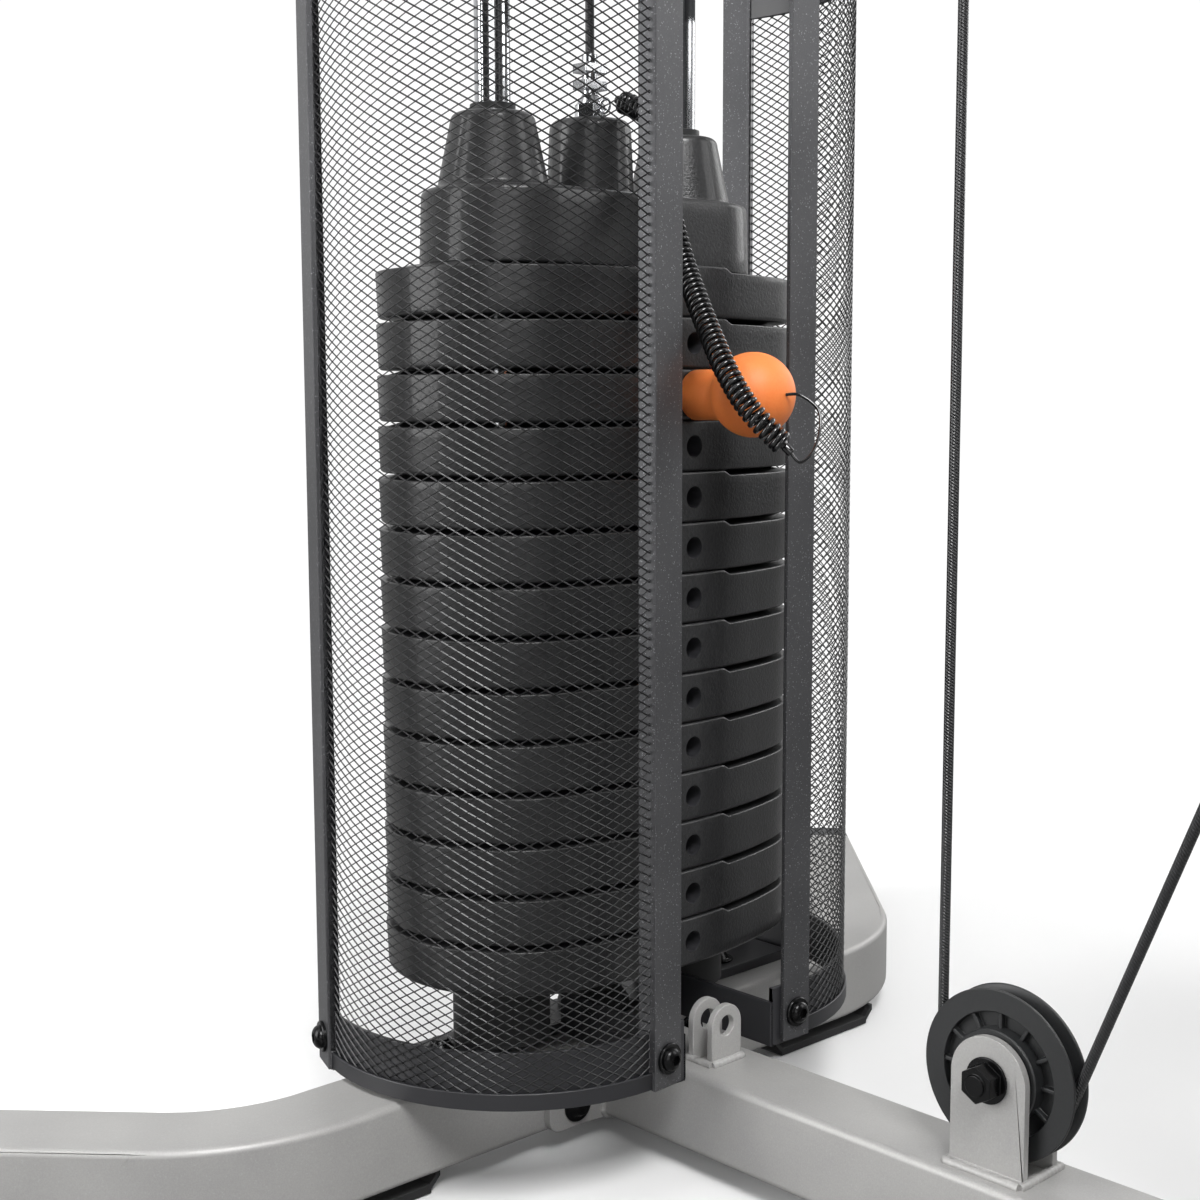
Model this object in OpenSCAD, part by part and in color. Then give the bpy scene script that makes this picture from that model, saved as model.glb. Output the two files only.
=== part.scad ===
// Multi gym with one weight stack: a low three-legged base, a stack tower with curved mesh
// shrouds, an overhead boom with pulleys, a seat on a mast, a press arm and a leg lever.
// Millimetres, Z up. The origin is on the floor under the middle of the stack, +Y is the back.

/* [Base frame] */
// Height of the base tubes above the floor
base_lift = 12; // [10:1:20]
// Width of the frame tubes
tube_w = 50; // [46:1:60]
// Height of the base tubes
tube_h = 45; // [40:1:55]
// Wall of the frame tubes
tube_wall = 2.5; // [2:0.1:3]
// Outside corner radius of the frame tubes
tube_corner = 4; // [3.5:0.5:6]
// Distance from the stack centre forward to the centre line of the cross arms
arm_setback = 5; // [0:1:10]
// Half length of the straight middle of the cross arms
arm_straight = 190; // [175:1:230]
// Centre line radius of the arm bends
arm_bend_r = 116; // [90:1:150]
// Angle that each arm is bent back
arm_bend = 46; // [30:1:60]
// Length of each arm past its bend
arm_tail = 205; // [120:1:260]
// Length of the plastic caps on the arm ends
arm_cap = 25; // [10:1:40]
// Thickness of the joint plates at the ends of the rail
joint_t = 5; // [4:0.5:8]
// Half width of the joint plates
joint_half = 65; // [55:1:80]
// Distance from the stack centre to the rear face of the front foot
rail_reach = 1265; // [1240:1:1400]
// Half length of the front foot
foot_half = 260; // [200:1:320]
// Thickness of the flat bars that carry the guide rods
bar_t = 6; // [5:0.5:10]
// Width of the flat bars that carry the guide rods
bar_w = 32; // [28:1:40]
// Half length of the flat bars that carry the guide rods
bar_half = 158; // [150:1:162]
// Thickness of thin flat plates and brackets
sheet_t = 3; // [2.5:0.5:4]

/* [Stack] */
// Number of weight plates
plates = 14; // [6:1:16]
// Number of plates that the pin picks up
picked = 3; // [1:1:5]
// Height of one plate
plate_t = 27; // [24:0.5:30]
// Half length of a plate
plate_a = 130; // [120:1:136]
// Half depth of a plate
plate_b = 81; // [76:1:84]
// Radius of the plate's end arcs
plate_end_r = 72; // [66:1:74]
// Depth of the slots between two plates
slot_h = 2.5; // [1:0.5:4]
// Half width of the land in the middle, where the plates touch
land_half = 25; // [20:1:30]
// Distance from the centre to the lands at the plate's ends
land_far = 108; // [100:1:115]
// Diameter of the guide rods
rod_d = 19; // [16:0.5:22]
// Distance of each guide rod from the middle
rod_x = 69.5; // [60:0.5:76]
// Height of the buffers under the stack
buffer_h = 41.8; // [30:0.1:60]
// Diameter of the buffers on the guide rods
buffer_d = 54; // [40:1:60]
// Diameter of the selector rod
selector_d = 25; // [22:0.5:28]
// Diameter of the selector pin
pin_d = 10; // [8:0.5:12]
// Distance that the pin's tip reaches past the middle of the stack
pin_past = 14; // [14:1:18]
// Diameter of the ball on the selector pin
knob_d = 43.5; // [34:0.5:48]
// Diameter of the knob's neck
neck_d = 26.5; // [20:0.5:30]
// Height of the head block
head_h = 36; // [28:1:45]
// Half length of the head block
head_a = 107; // [104:1:120]
// Half depth of the head block
head_b = 47; // [40:1:60]
// Height of the bosses on the head block
boss_h = 48; // [35:1:60]
// Diameter of the head's bosses at the bottom
boss_low_d = 58; // [52:1:60]
// Diameter of the head's bosses at the top
boss_top_d = 44; // [40:1:50]

/* [Shrouds] */
// Distance of each shroud's arc centre from the middle
shroud_x = 57; // [54:0.5:60]
// Radius of the shrouds over their edge strips
shroud_r = 112; // [110:0.5:118]
// Width of the shroud's edge strips
strip_w = 20; // [16:0.5:24]
// Depth of the lip along the inner side of each edge strip
strip_lip = 9; // [6:0.5:12]
// Height of the shroud's top edge above the floor
shroud_top = 1480; // [1300:5:1600]
// Height of the middle band's lower edge above the floor
band_mid = 646; // [400:1:900]
// Height of the bands behind the mesh
band_h = 29; // [20:1:40]
// Height of the rolled lip at the bottom of a shroud
hem_h = 9; // [6:0.5:14]
// Thickness of the mesh
mesh_t = 1; // [0.8:0.1:1.5]

/* [Overhead and mast] */
// Height of the boom's top above the floor
boom_top = 2010; // [1950:5:2100]
// Distance from the stack centre to the boom's rear end
boom_back = 50; // [40:1:80]
// Distance from the stack centre to the boom's front end
boom_front = 1085; // [1075:1:1150]
// Distance from the stack centre to the mast's rear face
mast_back = 660; // [655:1:700]
// Depth of the mast from back to front
mast_depth = 70; // [60:1:80]
// Height of the pulley axles above the floor
axle_z = 1905; // [1880:1:1910]
// Thickness of the plates that join the mast to the boom
link_t = 5; // [4:0.5:8]

/* [Pulleys and cables] */
// Diameter of the cable
cable_d = 5; // [4:0.5:6]
// Radius at which the cable runs round a pulley
pitch_r = 35.2; // [33:0.1:38]
// Outside radius of a pulley
wheel_r = 40.6; // [39.6:0.1:44]
// Width of a pulley's rim
rim_w = 12; // [11:0.5:14]
// Length of a pulley's hub
hub_w = 19.4; // [17:0.2:22]
// Diameter of the pulley axles
axle_d = 10; // [8:0.5:12]
// Thickness of the plates that hold the pulleys
ear_t = 4; // [3:0.5:5]
// Height of the low pulley's axle above the base tubes
low_rise = 45.1; // [44:0.1:60]
// Height of the floating pulley above the floor
float_z = 1500; // [1300:5:1600]
// Distance from the stack centre to the front pulley's axle
front_axle = 1005; // [985:1:1025]

/* [Seat and arms] */
// Height of the press arm's pivot above the floor
pivot_z = 300; // [290:1:340]
// Distance from the stack centre to the press arm's pivot
pivot_y = 612.7; // [606:0.1:618]
// Groove radius of the press cam at the cable's centre
cam_r = 200; // [180:1:205]
// Diameter of the round tubes of the press arm
arm_d = 38; // [32:0.5:42]
// Half width of the press arm
arm_half = 320; // [280:1:360]
// Height of the seat's top above the floor
seat_top = 510; // [490:1:560]
// Thickness of the pads with their boards
pad_t = 62; // [50:1:80]
// Half width of the seat pad
seat_half = 160; // [130:1:190]
// Length of the seat pad
seat_len = 355; // [300:1:360]
// Half width of the back pad
back_half = 140; // [110:1:170]
// Height of the back pad
back_len = 700; // [500:5:800]
// Diameter of the foam rollers
roller_d = 95; // [70:1:100]
// Length of a foam roller
roller_len = 150; // [120:1:180]
// Diameter of the lat bar
lat_d = 28; // [24:1:32]
// Half length of the straight middle of the lat bar
lat_half = 300; // [220:5:360]
// Height of the lat bar above the floor
lat_z = 1720; // [1700:5:1740]

/* [Hidden] */
// Running clearance of round parts, on the radius
fit = 0.05;
// Small gap that keeps soft or moving pieces off their neighbours
soft_gap = 0.3;
// Paper-thin gap between two weight plates that rest on each other
seat_gap = 0.04;
base_top = base_lift + tube_h;
arm_front = -arm_setback - tube_w / 2;
arm_rear = -arm_setback + tube_w / 2;
bar_top = base_top + bar_t;
stack_z = bar_top + buffer_h;
stack_top = stack_z + plates * plate_t;
head_top = stack_top + head_h;
boss_top = head_top + boss_h;
pin_z = stack_top - (picked - 0.5) * plate_t;
pin_hole = pin_d + 1;
boom_low = boom_top - tube_h;
rod_top = boom_low - 2;
mast_front = mast_back + mast_depth;
top_cable_z = axle_z + pitch_r;
// Pulley places along the boom, from the stack forward
rise_y = -pitch_r;
turn_y = -5 * pitch_r;
float_y = -7 * pitch_r;
drop_y = -9 * pitch_r;
low_y = -8 * pitch_r;
low_z = base_top + low_rise;
lat_y = -front_axle - pitch_r;
band_inner = shroud_r - 2 * sheet_t - mesh_t;
seat_board = 12;
seat_y = -mast_front - 75;
seat_tube_top = seat_top - pad_t - 3;
// Angles of the shroud's front and rear strips, from +X turning towards +Y
strip_front = 273.3;
strip_rear = 160.2;
bolt_d = 8;
bolt_hole = bolt_d + 0.6;
bar_bolt_x = 110;
mast_top = axle_z - 9;
foot_x = 133;
foot_len = 97;
pad_h = 2;
tab_h = 33;
web_x = 35;
bolt_rise = 17.3;
screw_d = 6;
screw_hole = screw_d + 0.6;
carrier_z = shroud_top - bar_t - 2;
shroud_low = base_top + 2;
// Windows of the screens, in staggered rows. The real diamonds are 8.7 by 5.3 mm.
gap_columns = 6;
gap_rows = 48;
margin_a = 6.5;
margin_z = 34;
strand_w = 3.5;
// The flat arcs end this far before the points where they touch the end arcs
seam = 4;
bush_wall = 2.5;
rod_in_head = 50;
stem_d = 12;
fitting_h = 34;
neck_len = 20;
knob_y = -plate_b - soft_gap - neck_len - 20.5;
coil_d = 12.4;
wire_d = 2.6;
curls = 45;
rings_per_curl = 8;
ferrule_d = 4.5;
ferrule_len = 6;
end_wire_d = 1.6;
// Points of the thin wire that runs on from the coil to the ball's front
end_route = [[-4, -165, 387], [5, -162, 398], [8, -158, 408], [4, -150, 415]];
ear_in = hub_w / 2 + soft_gap;
weld_r = 2.6;
fitting_top = boss_top + fitting_h;
clamp_z = float_z - 75;
hook_z = lat_z + 62;
// Upright cables are a hair thinner than the swept ones that they meet
strand_d = cable_d - 0.02;
// The press cable leaves the low pulley and the cam on their common tangent
cam_gap = [-pivot_y - low_y, pivot_z - low_z];
tangent = atan2(cam_gap[1], -cam_gap[0]) + asin((cam_r + pitch_r) / norm(cam_gap));
cable_a = 90 - tangent;
stand_t = 6;
bush_t = 4;
seat_front = -seat_y + seat_len - 50;
seat_edge = -seat_y + seat_len;
leg_y = -seat_front - 46;
leg_z = seat_tube_top - 25;
knee_y = leg_y - 55;
knee_z = leg_z + 37;
back_low = seat_top + 50;
cam_first = cable_a - 32;
cam_last = cable_a + 15;
cam_w = 12;
grip_len = 130;
// Side points of the press arm in the plane of one handle: pivot, knee, shoulder and grip
arm_points = [[-pivot_y, pivot_z], [-pivot_y - 90, pivot_z + 300], [-pivot_y - 245, pivot_z + 690],
    [-pivot_y - 267, pivot_z + 780]];
lever_y = leg_y - 40;
lever_z = leg_z - 270;
lat_drop = 60;
lat_out = 110;

// Rectangle with rounded corners, centred
module rounded(w, h, r) {
    square([w, h - 2 * r], center = true);
    square([w - 2 * r, h], center = true);
    for (x = [-1, 1], y = [-1, 1]) translate([x * (w / 2 - r), y * (h / 2 - r)]) circle(r, $fn = 32);
}

// Section of a square tube
module tube_section(w, h) {
    difference() {
        rounded(w, h, tube_corner);
        rounded(w - 2 * tube_wall, h - 2 * tube_wall, tube_corner - tube_wall);
    }
}

// Tube along Y from y0 forward to y1, standing on z
module tube_y(y0, y1, w, h, z) {
    translate([0, y0, z + h / 2]) rotate([90, 0, 0]) linear_extrude(y0 - y1) tube_section(w, h);
}

// Round bar from point a to point b
module bar(a, b, d, fn = 48) {
    v = b - a;
    translate(a) rotate([0, acos(v[2] / norm(v)), atan2(v[1], v[0])])
        cylinder(h = norm(v), d = d, $fn = fn);
}

// Cylinder along X, centred
module disc_x(d, w, fn = 64) { rotate([0, 90, 0]) cylinder(h = w, d = d, center = true, $fn = fn); }
// Points of a circle arc in the plane X = 0
function arc_yz(y, z, r, a0, a1, n) = [for (k = [0 : n]) let (a = a0 + (a1 - a0) * k / n)
    [0, y + r * cos(a), z + r * sin(a)]];
// Vector v at length one
function unit(v) = v / norm(v);
// Direction of a list of points at point k
function heading(p, k) = unit(p[min(k + 1, len(p) - 1)] - p[max(k - 1, 0)]);
// Ring of points round p, square to t
function ring_at(p, t, r, n) = let (u = unit(cross(t, abs(t[0]) > 0.9 ? [0, 1, 0] : [1, 0, 0])),
    v = cross(t, u))
    [for (k = [0 : n - 1]) p + r * (cos(360 * k / n) * u + sin(360 * k / n) * v)];
// Solid tube swept along points
module sweep(p, d, n = 8) {
    m = len(p);
    rings = [for (k = [0 : m - 1]) ring_at(p[k], heading(p, k), d / 2, n)];
    points = [for (r = rings, q = r) q];
    sides = [for (k = [0 : m - 2], j = [0 : n - 1]) let (a = k * n + j, b = k * n + (j + 1) % n)
        each [[a, a + n, b], [b, a + n, b + n]]];
    ends = [for (j = [1 : n - 2]) each [[0, j, j + 1], [(m - 1) * n, (m - 1) * n + j + 1,
        (m - 1) * n + j]]];
    polyhedron(points, concat(sides, ends));
}

// Button-headed bolt with washer and nut. The shank runs along +Z from the washer's seat.
module bolt(d, grip, washer = true, nut = true) {
    translate([0, 0, -1.5]) cylinder(h = 1.5, d = 2.4 * d, $fn = 32);
    translate([0, 0, -1.5 - 0.55 * d]) cylinder(h = 0.55 * d, r1 = 0.55 * d, r2 = 0.9 * d, $fn = 32);
    translate([0, 0, -0.1]) cylinder(h = grip + 0.1 + (nut ? 1.1 * d : 0), d = d, $fn = 32);
    if (nut) {
        translate([0, 0, grip]) cylinder(h = 1.5, d = 2.2 * d, $fn = 32);
        translate([0, 0, grip + 1.5]) cylinder(h = 0.8 * d, d = 1.8 * d, $fn = 6);
    }
}

// Section of one cross arm's route: straight, bent and straight again
module arm_route(w, h, r) {
    rotate([0, 90, 0]) rotate([0, 0, 90]) linear_extrude(arm_straight) rounded(w, h, r);
    translate([arm_straight, arm_bend_r, 0]) {
        rotate([0, 0, -90]) rotate_extrude(angle = arm_bend, $fn = 96) translate([arm_bend_r, 0])
            rounded(w, h, r);
        rotate([0, 0, arm_bend - 90]) translate([arm_bend_r, 0, 0]) rotate([-90, 0, 0])
            linear_extrude(arm_tail) rounded(w, h, r);
    }
}

// Places a child at the end of each cross arm, with +Y along the arm
module at_arm_end() {
    for (s = [0, 1]) mirror([s, 0, 0]) translate([arm_straight, arm_bend_r - arm_setback,
        base_lift + tube_h / 2])
        rotate([0, 0, arm_bend - 90]) translate([arm_bend_r, arm_tail, 0]) children();
}

// Places a child at the four bolts of a joint plate
module at_joint_bolts() {
    for (x = [-1, 1], z = [0.28, 0.72]) translate([x * (tube_w / 2 + joint_half) / 2, 0,
        base_lift + z * tube_h]) children();
}

// Bent cross tube under the stack, with its bolt holes
module stabiliser() {
    color("silver") difference() {
        translate([0, -arm_setback, base_lift + tube_h / 2]) for (s = [0, 1]) mirror([s, 0, 0])
            arm_route(tube_w, tube_h, tube_corner);
        translate([0, -arm_setback, base_lift + tube_h / 2]) for (s = [0, 1]) mirror([s, 0, 0])
            arm_route(tube_w - 2 * tube_wall, tube_h - 2 * tube_wall, tube_corner - tube_wall);
        translate([0, arm_front - 1, 0]) at_joint_bolts() rotate([-90, 0, 0])
            cylinder(h = tube_w + 2, d = bolt_hole, $fn = 32);
        at_bar_bolts() translate([0, 0, base_lift - 1])
            cylinder(h = tube_h + 2, d = bolt_hole, $fn = 32);
    }
}

// Places a child over the bolts of the lower flat bar
module at_bar_bolts() { for (x = [-1, 1]) translate([x * bar_bolt_x, 4, 0]) children(); }
// Plate that bolts the rail to a cross tube, its rear face at y
module joint_plate(y) {
    difference() {
        translate([0, y, base_lift + tube_h / 2]) rotate([90, 0, 0]) linear_extrude(joint_t)
            rounded(2 * joint_half, tube_h, 8);
        translate([0, y + 1, 0]) at_joint_bolts() rotate([90, 0, 0])
            cylinder(h = joint_t + 2, d = bolt_hole, $fn = 32);
    }
}

// Long tube from the stack to the front foot, with a plate welded on each end
module main_rail() {
    color("silver") {
        difference() {
            tube_y(arm_front - joint_t, joint_t - rail_reach, tube_w, tube_h, base_lift);
            at_mast_bolts() translate([0, 0, base_lift + tube_h / 2])
                cylinder(h = tube_h, d = bolt_hole, $fn = 32);
        }
        joint_plate(arm_front);
        joint_plate(joint_t - rail_reach);
    }
}

// Cross tube under the leg end
module front_foot() {
    color("silver") difference() {
        translate([0, -rail_reach - tube_w / 2, base_lift + tube_h / 2]) rotate([0, 90, 0])
            rotate([0, 0, 90])
            linear_extrude(2 * foot_half, center = true) tube_section(tube_w, tube_h);
        translate([0, -rail_reach + 1, 0]) at_joint_bolts() rotate([90, 0, 0])
            cylinder(h = tube_w + 2, d = bolt_hole, $fn = 32);
    }
}

// Plastic cap with a plug for a tube of w by h that ends at z = 0, opening down
module cap(w, h, t) {
    linear_extrude(t) rounded(w, h, tube_corner);
    translate([0, 0, -14]) linear_extrude(14.1) rounded(w - 2 * tube_wall - 0.4, h - 2 * tube_wall - 0.4,
        tube_corner - tube_wall);
}

// Caps of every open tube end
module end_caps() {
    color("dimgray") {
        at_arm_end() rotate([-90, 0, 0]) cap(tube_w, tube_h, arm_cap);
        for (s = [-1, 1]) translate([s * foot_half, -rail_reach - tube_w / 2, base_lift + tube_h / 2])
            rotate([0, s * 90, 0]) rotate([0, 0, 90]) cap(tube_w, tube_h, 5);
        translate([0, -mast_back - mast_depth / 2, mast_top]) cap(tube_w, mast_depth, 4);
        translate([0, boom_back, boom_low + tube_h / 2]) rotate([-90, 0, 0]) cap(tube_w, tube_h, 4);
        translate([0, -boom_front, boom_low + tube_h / 2]) rotate([90, 0, 0]) cap(tube_w, tube_h, 4);
        translate([0, -seat_front, seat_tube_top - tube_h / 2]) rotate([90, 0, 0]) cap(tube_w, tube_h, 4);
    }
}

// Bent steel foot with its ends turned up to the tube, on a thin rubber strip
module strap_foot(len, w) {
    rise = base_lift - pad_h;
    color("silver") translate([0, w / 2, pad_h]) rotate([90, 0, 0]) linear_extrude(w)
        polygon([[0, rise], [0, 6], [6, 0], [len - 6, 0], [len, 6], [len, rise], [len - sheet_t, rise],
            [len - sheet_t, 7.2], [len - 7.2, sheet_t], [7.2, sheet_t], [sheet_t, 7.2], [sheet_t, rise]]);
    color("black") translate([6, -w / 2, 0]) cube([len - 12, w, pad_h]);
}

// Everything that the gym stands on
module floor_feet() {
    for (s = [0, 1]) mirror([s, 0, 0]) {
        translate([foot_x, -arm_setback, 0]) strap_foot(foot_len, tube_w - 10);
        translate([foot_half - foot_len - 10, -rail_reach - tube_w / 2, 0]) strap_foot(foot_len,
            tube_w - 10);
    }
    color("black") {
        cylinder(h = base_lift, d1 = 36, d2 = 32, $fn = 48);
        at_arm_end() translate([0, -30, -base_lift - tube_h / 2])
            cylinder(h = base_lift, d1 = 40, d2 = 34, $fn = 48);
    }
}

// Bolts, washers and nuts of the frame
module frame_bolts() {
    color("#222222") {
        translate([0, arm_front - joint_t, 0]) at_joint_bolts() rotate([-90, 0, 0])
            bolt(bolt_d, tube_w + joint_t);
        translate([0, 2 * joint_t - rail_reach - joint_t, 0]) at_joint_bolts() rotate([90, 0, 0])
            bolt(bolt_d, tube_w + joint_t);
        at_bar_bolts() translate([0, 0, bar_top]) rotate([180, 0, 0])
            bolt(bolt_d, tube_h + bar_t, true, false);
        at_link_bolts() rotate([0, 90, 0]) bolt(bolt_d, tube_w + 2 * link_t);
        at_top_bolts() translate([0, 0, rod_top - 8]) bolt(bolt_d, 8 + tube_h + 2);
        at_mast_bolts() translate([0, 0, base_top + bar_t]) rotate([180, 0, 0])
            bolt(bolt_d, bar_t + tube_wall, true, false);
    }
}

// Places a child at the left mouth of each bolt through the mast link plates
module at_link_bolts() {
    for (y = [-0.3, 0.3], z = [mast_top - 25, mast_top - 85, boom_low + tube_h / 2])
        translate([-tube_w / 2 - link_t, -mast_back - mast_depth / 2 + y * mast_depth, z]) children();
}

// Places a child at the two bolts through the rods' top plate and the boom
module at_top_bolts() { for (y = [-1, 1]) translate([0, 3 + 11 * y, 0]) children(); }
// Places a child at the bolts of the mast's foot
module at_mast_bolts() { for (y = [10, -mast_depth - 10]) translate([0, -mast_back + y, 0]) children(); }
// Flat bar with the guide rods' holes, its lower face at z
module flat_bar(z, cable_hole) {
    difference() {
        translate([-bar_half, arm_rear - bar_w, z]) cube([2 * bar_half, bar_w, bar_t]);
        for (s = [-1, 1]) translate([s * rod_x, 0, z - 1])
            cylinder(h = bar_t + 2, r = rod_d / 2 + fit, $fn = 48);
        if (cable_hole) translate([0, 0, z - 1]) cylinder(h = bar_t + 2, d = cable_d + 5, $fn = 48);
    }
}

// Lower flat bar on the cross arms
module base_bar() {
    color("#1c1c1e") difference() {
        flat_bar(base_top, false);
        at_bar_bolts() translate([0, 0, base_top - 1]) cylinder(h = bar_t + 2, d = bolt_hole, $fn = 32);
    }
}

// Rubber buffers on the guide rods, and the flared one in the middle
module buffers() {
    color("#202022") {
        for (s = [-1, 1]) translate([s * rod_x, 0, bar_top]) difference() {
            union() {
                cylinder(h = buffer_h - 3, d = buffer_d, $fn = 64);
                translate([0, 0, buffer_h - 3]) cylinder(h = 3, d1 = buffer_d, d2 = buffer_d - 6, $fn = 64);
            }
            translate([0, 0, -1]) cylinder(h = buffer_h + 2, r = rod_d / 2 + soft_gap, $fn = 48);
        }
        translate([0, 0, bar_top]) rotate_extrude($fn = 64) {
            square([14, buffer_h - soft_gap]);
            polygon([[0, 0], [21, 0], [21, 3], [15.5, 11], [0, 11]]);
        }
    }
}

// Two chromed guide rods
module guide_rods() {
    color("gainsboro") for (s = [-1, 1]) translate([s * rod_x, 0, base_top])
        cylinder(h = rod_top - base_top, d = rod_d, $fn = 48);
}

// Plate that hangs the guide rods from the boom
module rod_top_plate() {
    color("#1c1c1e") difference() {
        union() {
            translate([-rod_x - 22, -14, rod_top - 8]) cube([2 * rod_x + 44, 42, 8]);
            translate([-tube_w / 2, -14, rod_top]) cube([tube_w, 42, boom_low - rod_top]);
        }
        for (s = [-1, 1]) translate([s * rod_x, 0, rod_top - 9])
            cylinder(h = 20, r = rod_d / 2 + fit, $fn = 48);
        at_top_bolts() translate([0, 0, rod_top - 9]) cylinder(h = 20, d = bolt_hole, $fn = 32);
    }
}

// Upright that carries the seat, the back pad and the boom
module mast() {
    color("silver") difference() {
        union() {
            translate([0, -mast_back - mast_depth / 2, base_top + bar_t])
                linear_extrude(mast_top - base_top - bar_t)
                tube_section(tube_w, mast_depth);
            translate([-tube_w / 2, -mast_front - 20, base_top]) cube([tube_w, mast_depth + 40, bar_t]);
        }
        at_link_bolts() rotate([0, 90, 0]) cylinder(h = tube_w + 4 * link_t, d = bolt_hole, $fn = 32);
        at_mast_bolts() translate([0, 0, base_top - 1]) cylinder(h = bar_t + 2, d = bolt_hole, $fn = 32);
    }
}

// Two plates that join the mast to the boom, with the top cable between them
module mast_link_plates() {
    color("silver") difference() {
        for (s = [-1, 1]) translate([s * (tube_w + link_t) / 2, -mast_back - mast_depth / 2,
            (mast_top - 110 + boom_top - 4) / 2])
            rotate([0, 90, 0]) linear_extrude(link_t, center = true)
                rounded(boom_top - 4 - mast_top + 110, mast_depth + 30, 10);
        at_link_bolts() rotate([0, 90, 0]) cylinder(h = tube_w + 4 * link_t, d = bolt_hole, $fn = 32);
    }
}

// Overhead tube
module top_boom() {
    color("silver") difference() {
        tube_y(boom_back, -boom_front, tube_w, tube_h, boom_low);
        at_link_bolts() rotate([0, 90, 0]) cylinder(h = tube_w + 4 * link_t, d = bolt_hole, $fn = 32);
        at_top_bolts() translate([0, 0, boom_low - 1]) cylinder(h = tube_h + 2, d = bolt_hole, $fn = 32);
    }
}

// Point at radius r and angle a of the left shroud's arc
function shroud_at(r, a) = [-shroud_x + r * cos(a), r * sin(a)];
// Places a child at a strip of the left shroud, with +X outwards and +Y turning to larger angles
module at_strip(a) { translate([-shroud_x, 0, 0]) rotate([0, 0, a]) children(); }
// Four bent tabs that hold the shrouds, on a flat bar whose lower face is at z. up is 1 or -1.
module shroud_tabs(z, up) {
    low = up > 0 ? z : z + bar_t - tab_h;
    tab_r = shroud_r - sheet_t;
    for (s = [0, 1]) mirror([s, 0, 0]) difference() {
        union() {
            at_strip(strip_front) translate([tab_r - sheet_t, -strip_w / 2 + sheet_t, low])
                cube([sheet_t, strip_w / 2 + 13, tab_h]);
            translate([-web_x - sheet_t / 2, sin(strip_front) * tab_r + 1, up > 0 ? z : z + bar_t - 25])
                cube([sheet_t, -sin(strip_front) * tab_r - 1 + arm_rear - bar_w, 25]);
            at_strip(strip_rear) translate([tab_r - sheet_t, -strip_w / 2 - 7, low])
                cube([sheet_t, strip_w + 7 - sheet_t, tab_h]);
            translate([0, 0, up > 0 ? z : z + bar_t - sheet_t]) linear_extrude(sheet_t)
                polygon([[-bar_half + 8, arm_rear],
                [-bar_half + 34, arm_rear], shroud_at(tab_r - 1, strip_rear - 9),
                    shroud_at(tab_r - 1, strip_rear - 2)]);
        }
        for (a = [strip_front, strip_rear]) at_strip(a)
            translate([tab_r - 10, 0, up > 0 ? z + bolt_rise : z + bar_t - bolt_rise])
            rotate([0, 90, 0]) cylinder(h = 20, d = screw_hole, $fn = 32);
    }
}

// Black tabs at the foot of the shrouds
module shroud_brackets() { color("#1c1c1e") shroud_tabs(base_top, 1); }
// Flat bar with its own tabs at the top of the shrouds, clamped on the guide rods
module shroud_top_carrier() {
    color("#1c1c1e") {
        flat_bar(carrier_z, true);
        shroud_tabs(carrier_z, -1);
        for (s = [-1, 1]) translate([s * rod_x, 0, carrier_z - 14]) difference() {
            cylinder(h = 14, d = rod_d + 16, $fn = 48);
            translate([0, 0, -1]) cylinder(h = 16, r = rod_d / 2 + fit, $fn = 48);
        }
    }
}

// Band of the left shroud between radius r and r + t, from height z. It ends the distance edge
// from the middle of each strip.
module shroud_arc(r, t, z, h, edge) {
    clear = asin(edge / r);
    translate([-shroud_x, 0, z]) rotate([0, 0, strip_rear + clear])
        rotate_extrude(angle = strip_front - strip_rear - 2 * clear, $fn = 128) translate([r, 0])
            square([t, h]);
}

// Frame of the left shroud: two lipped strips, three bands behind the mesh and the hem
module shroud_frame() {
    h = shroud_top - shroud_low;
    face_r = shroud_r - sheet_t;
    difference() {
        union() {
            for (e = [[strip_front, -1], [strip_rear, 1]]) at_strip(e[0]) {
                translate([face_r, -strip_w / 2, shroud_low]) cube([sheet_t, strip_w, h]);
                translate([face_r - strip_lip, e[1] > 0 ? strip_w / 2 - 2.5 : -strip_w / 2, shroud_low])
                    cube([strip_lip + 0.1, 2.5, h]);
            }
            for (z = [shroud_low + 1, band_mid, shroud_top - band_h - 1])
                shroud_arc(face_r - mesh_t - 2.5, 2.5, z, band_h, strip_w / 2 - 1);
            shroud_arc(face_r, 1.5, shroud_low + 0.5, hem_h, strip_w / 2 - 1);
            shroud_arc(face_r, 1.5, shroud_top - hem_h - 0.5, hem_h, strip_w / 2 - 1);
        }
        for (a = [strip_front, strip_rear], z = [base_top + bolt_rise, carrier_z + bar_t - bolt_rise])
            at_strip(a)
            translate([shroud_r - 10, 0, z]) rotate([0, 90, 0])
                cylinder(h = 20, d = screw_hole, $fn = 32);
    }
}

// Mesh of the left shroud: a thin curved sheet with staggered rows of windows, fewer and larger
// than the diamonds of the real expanded metal
module shroud_screen() {
    mesh_r = shroud_r - sheet_t - mesh_t;
    step_a = (strip_front - strip_rear - 2 * margin_a) / gap_columns;
    step_z = (shroud_top - shroud_low - 2 * margin_z) / gap_rows;
    strand_a = asin(strand_w / mesh_r);
    difference() {
        shroud_arc(mesh_r, mesh_t, shroud_low, shroud_top - shroud_low, strip_w / 2 + 0.06);
        for (row = [0 : gap_rows - 1], k = [0 : gap_columns - 1 - row % 2])
            translate([-shroud_x, 0, shroud_low + margin_z + row * step_z])
            rotate([0, 0, strip_rear + margin_a + (k + (row % 2) / 2) * step_a])
            rotate_extrude(angle = step_a - strand_a, $fn = 128)
            translate([mesh_r - 1, 0]) square([mesh_t + 2, step_z - strand_w]);
    }
}
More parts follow.
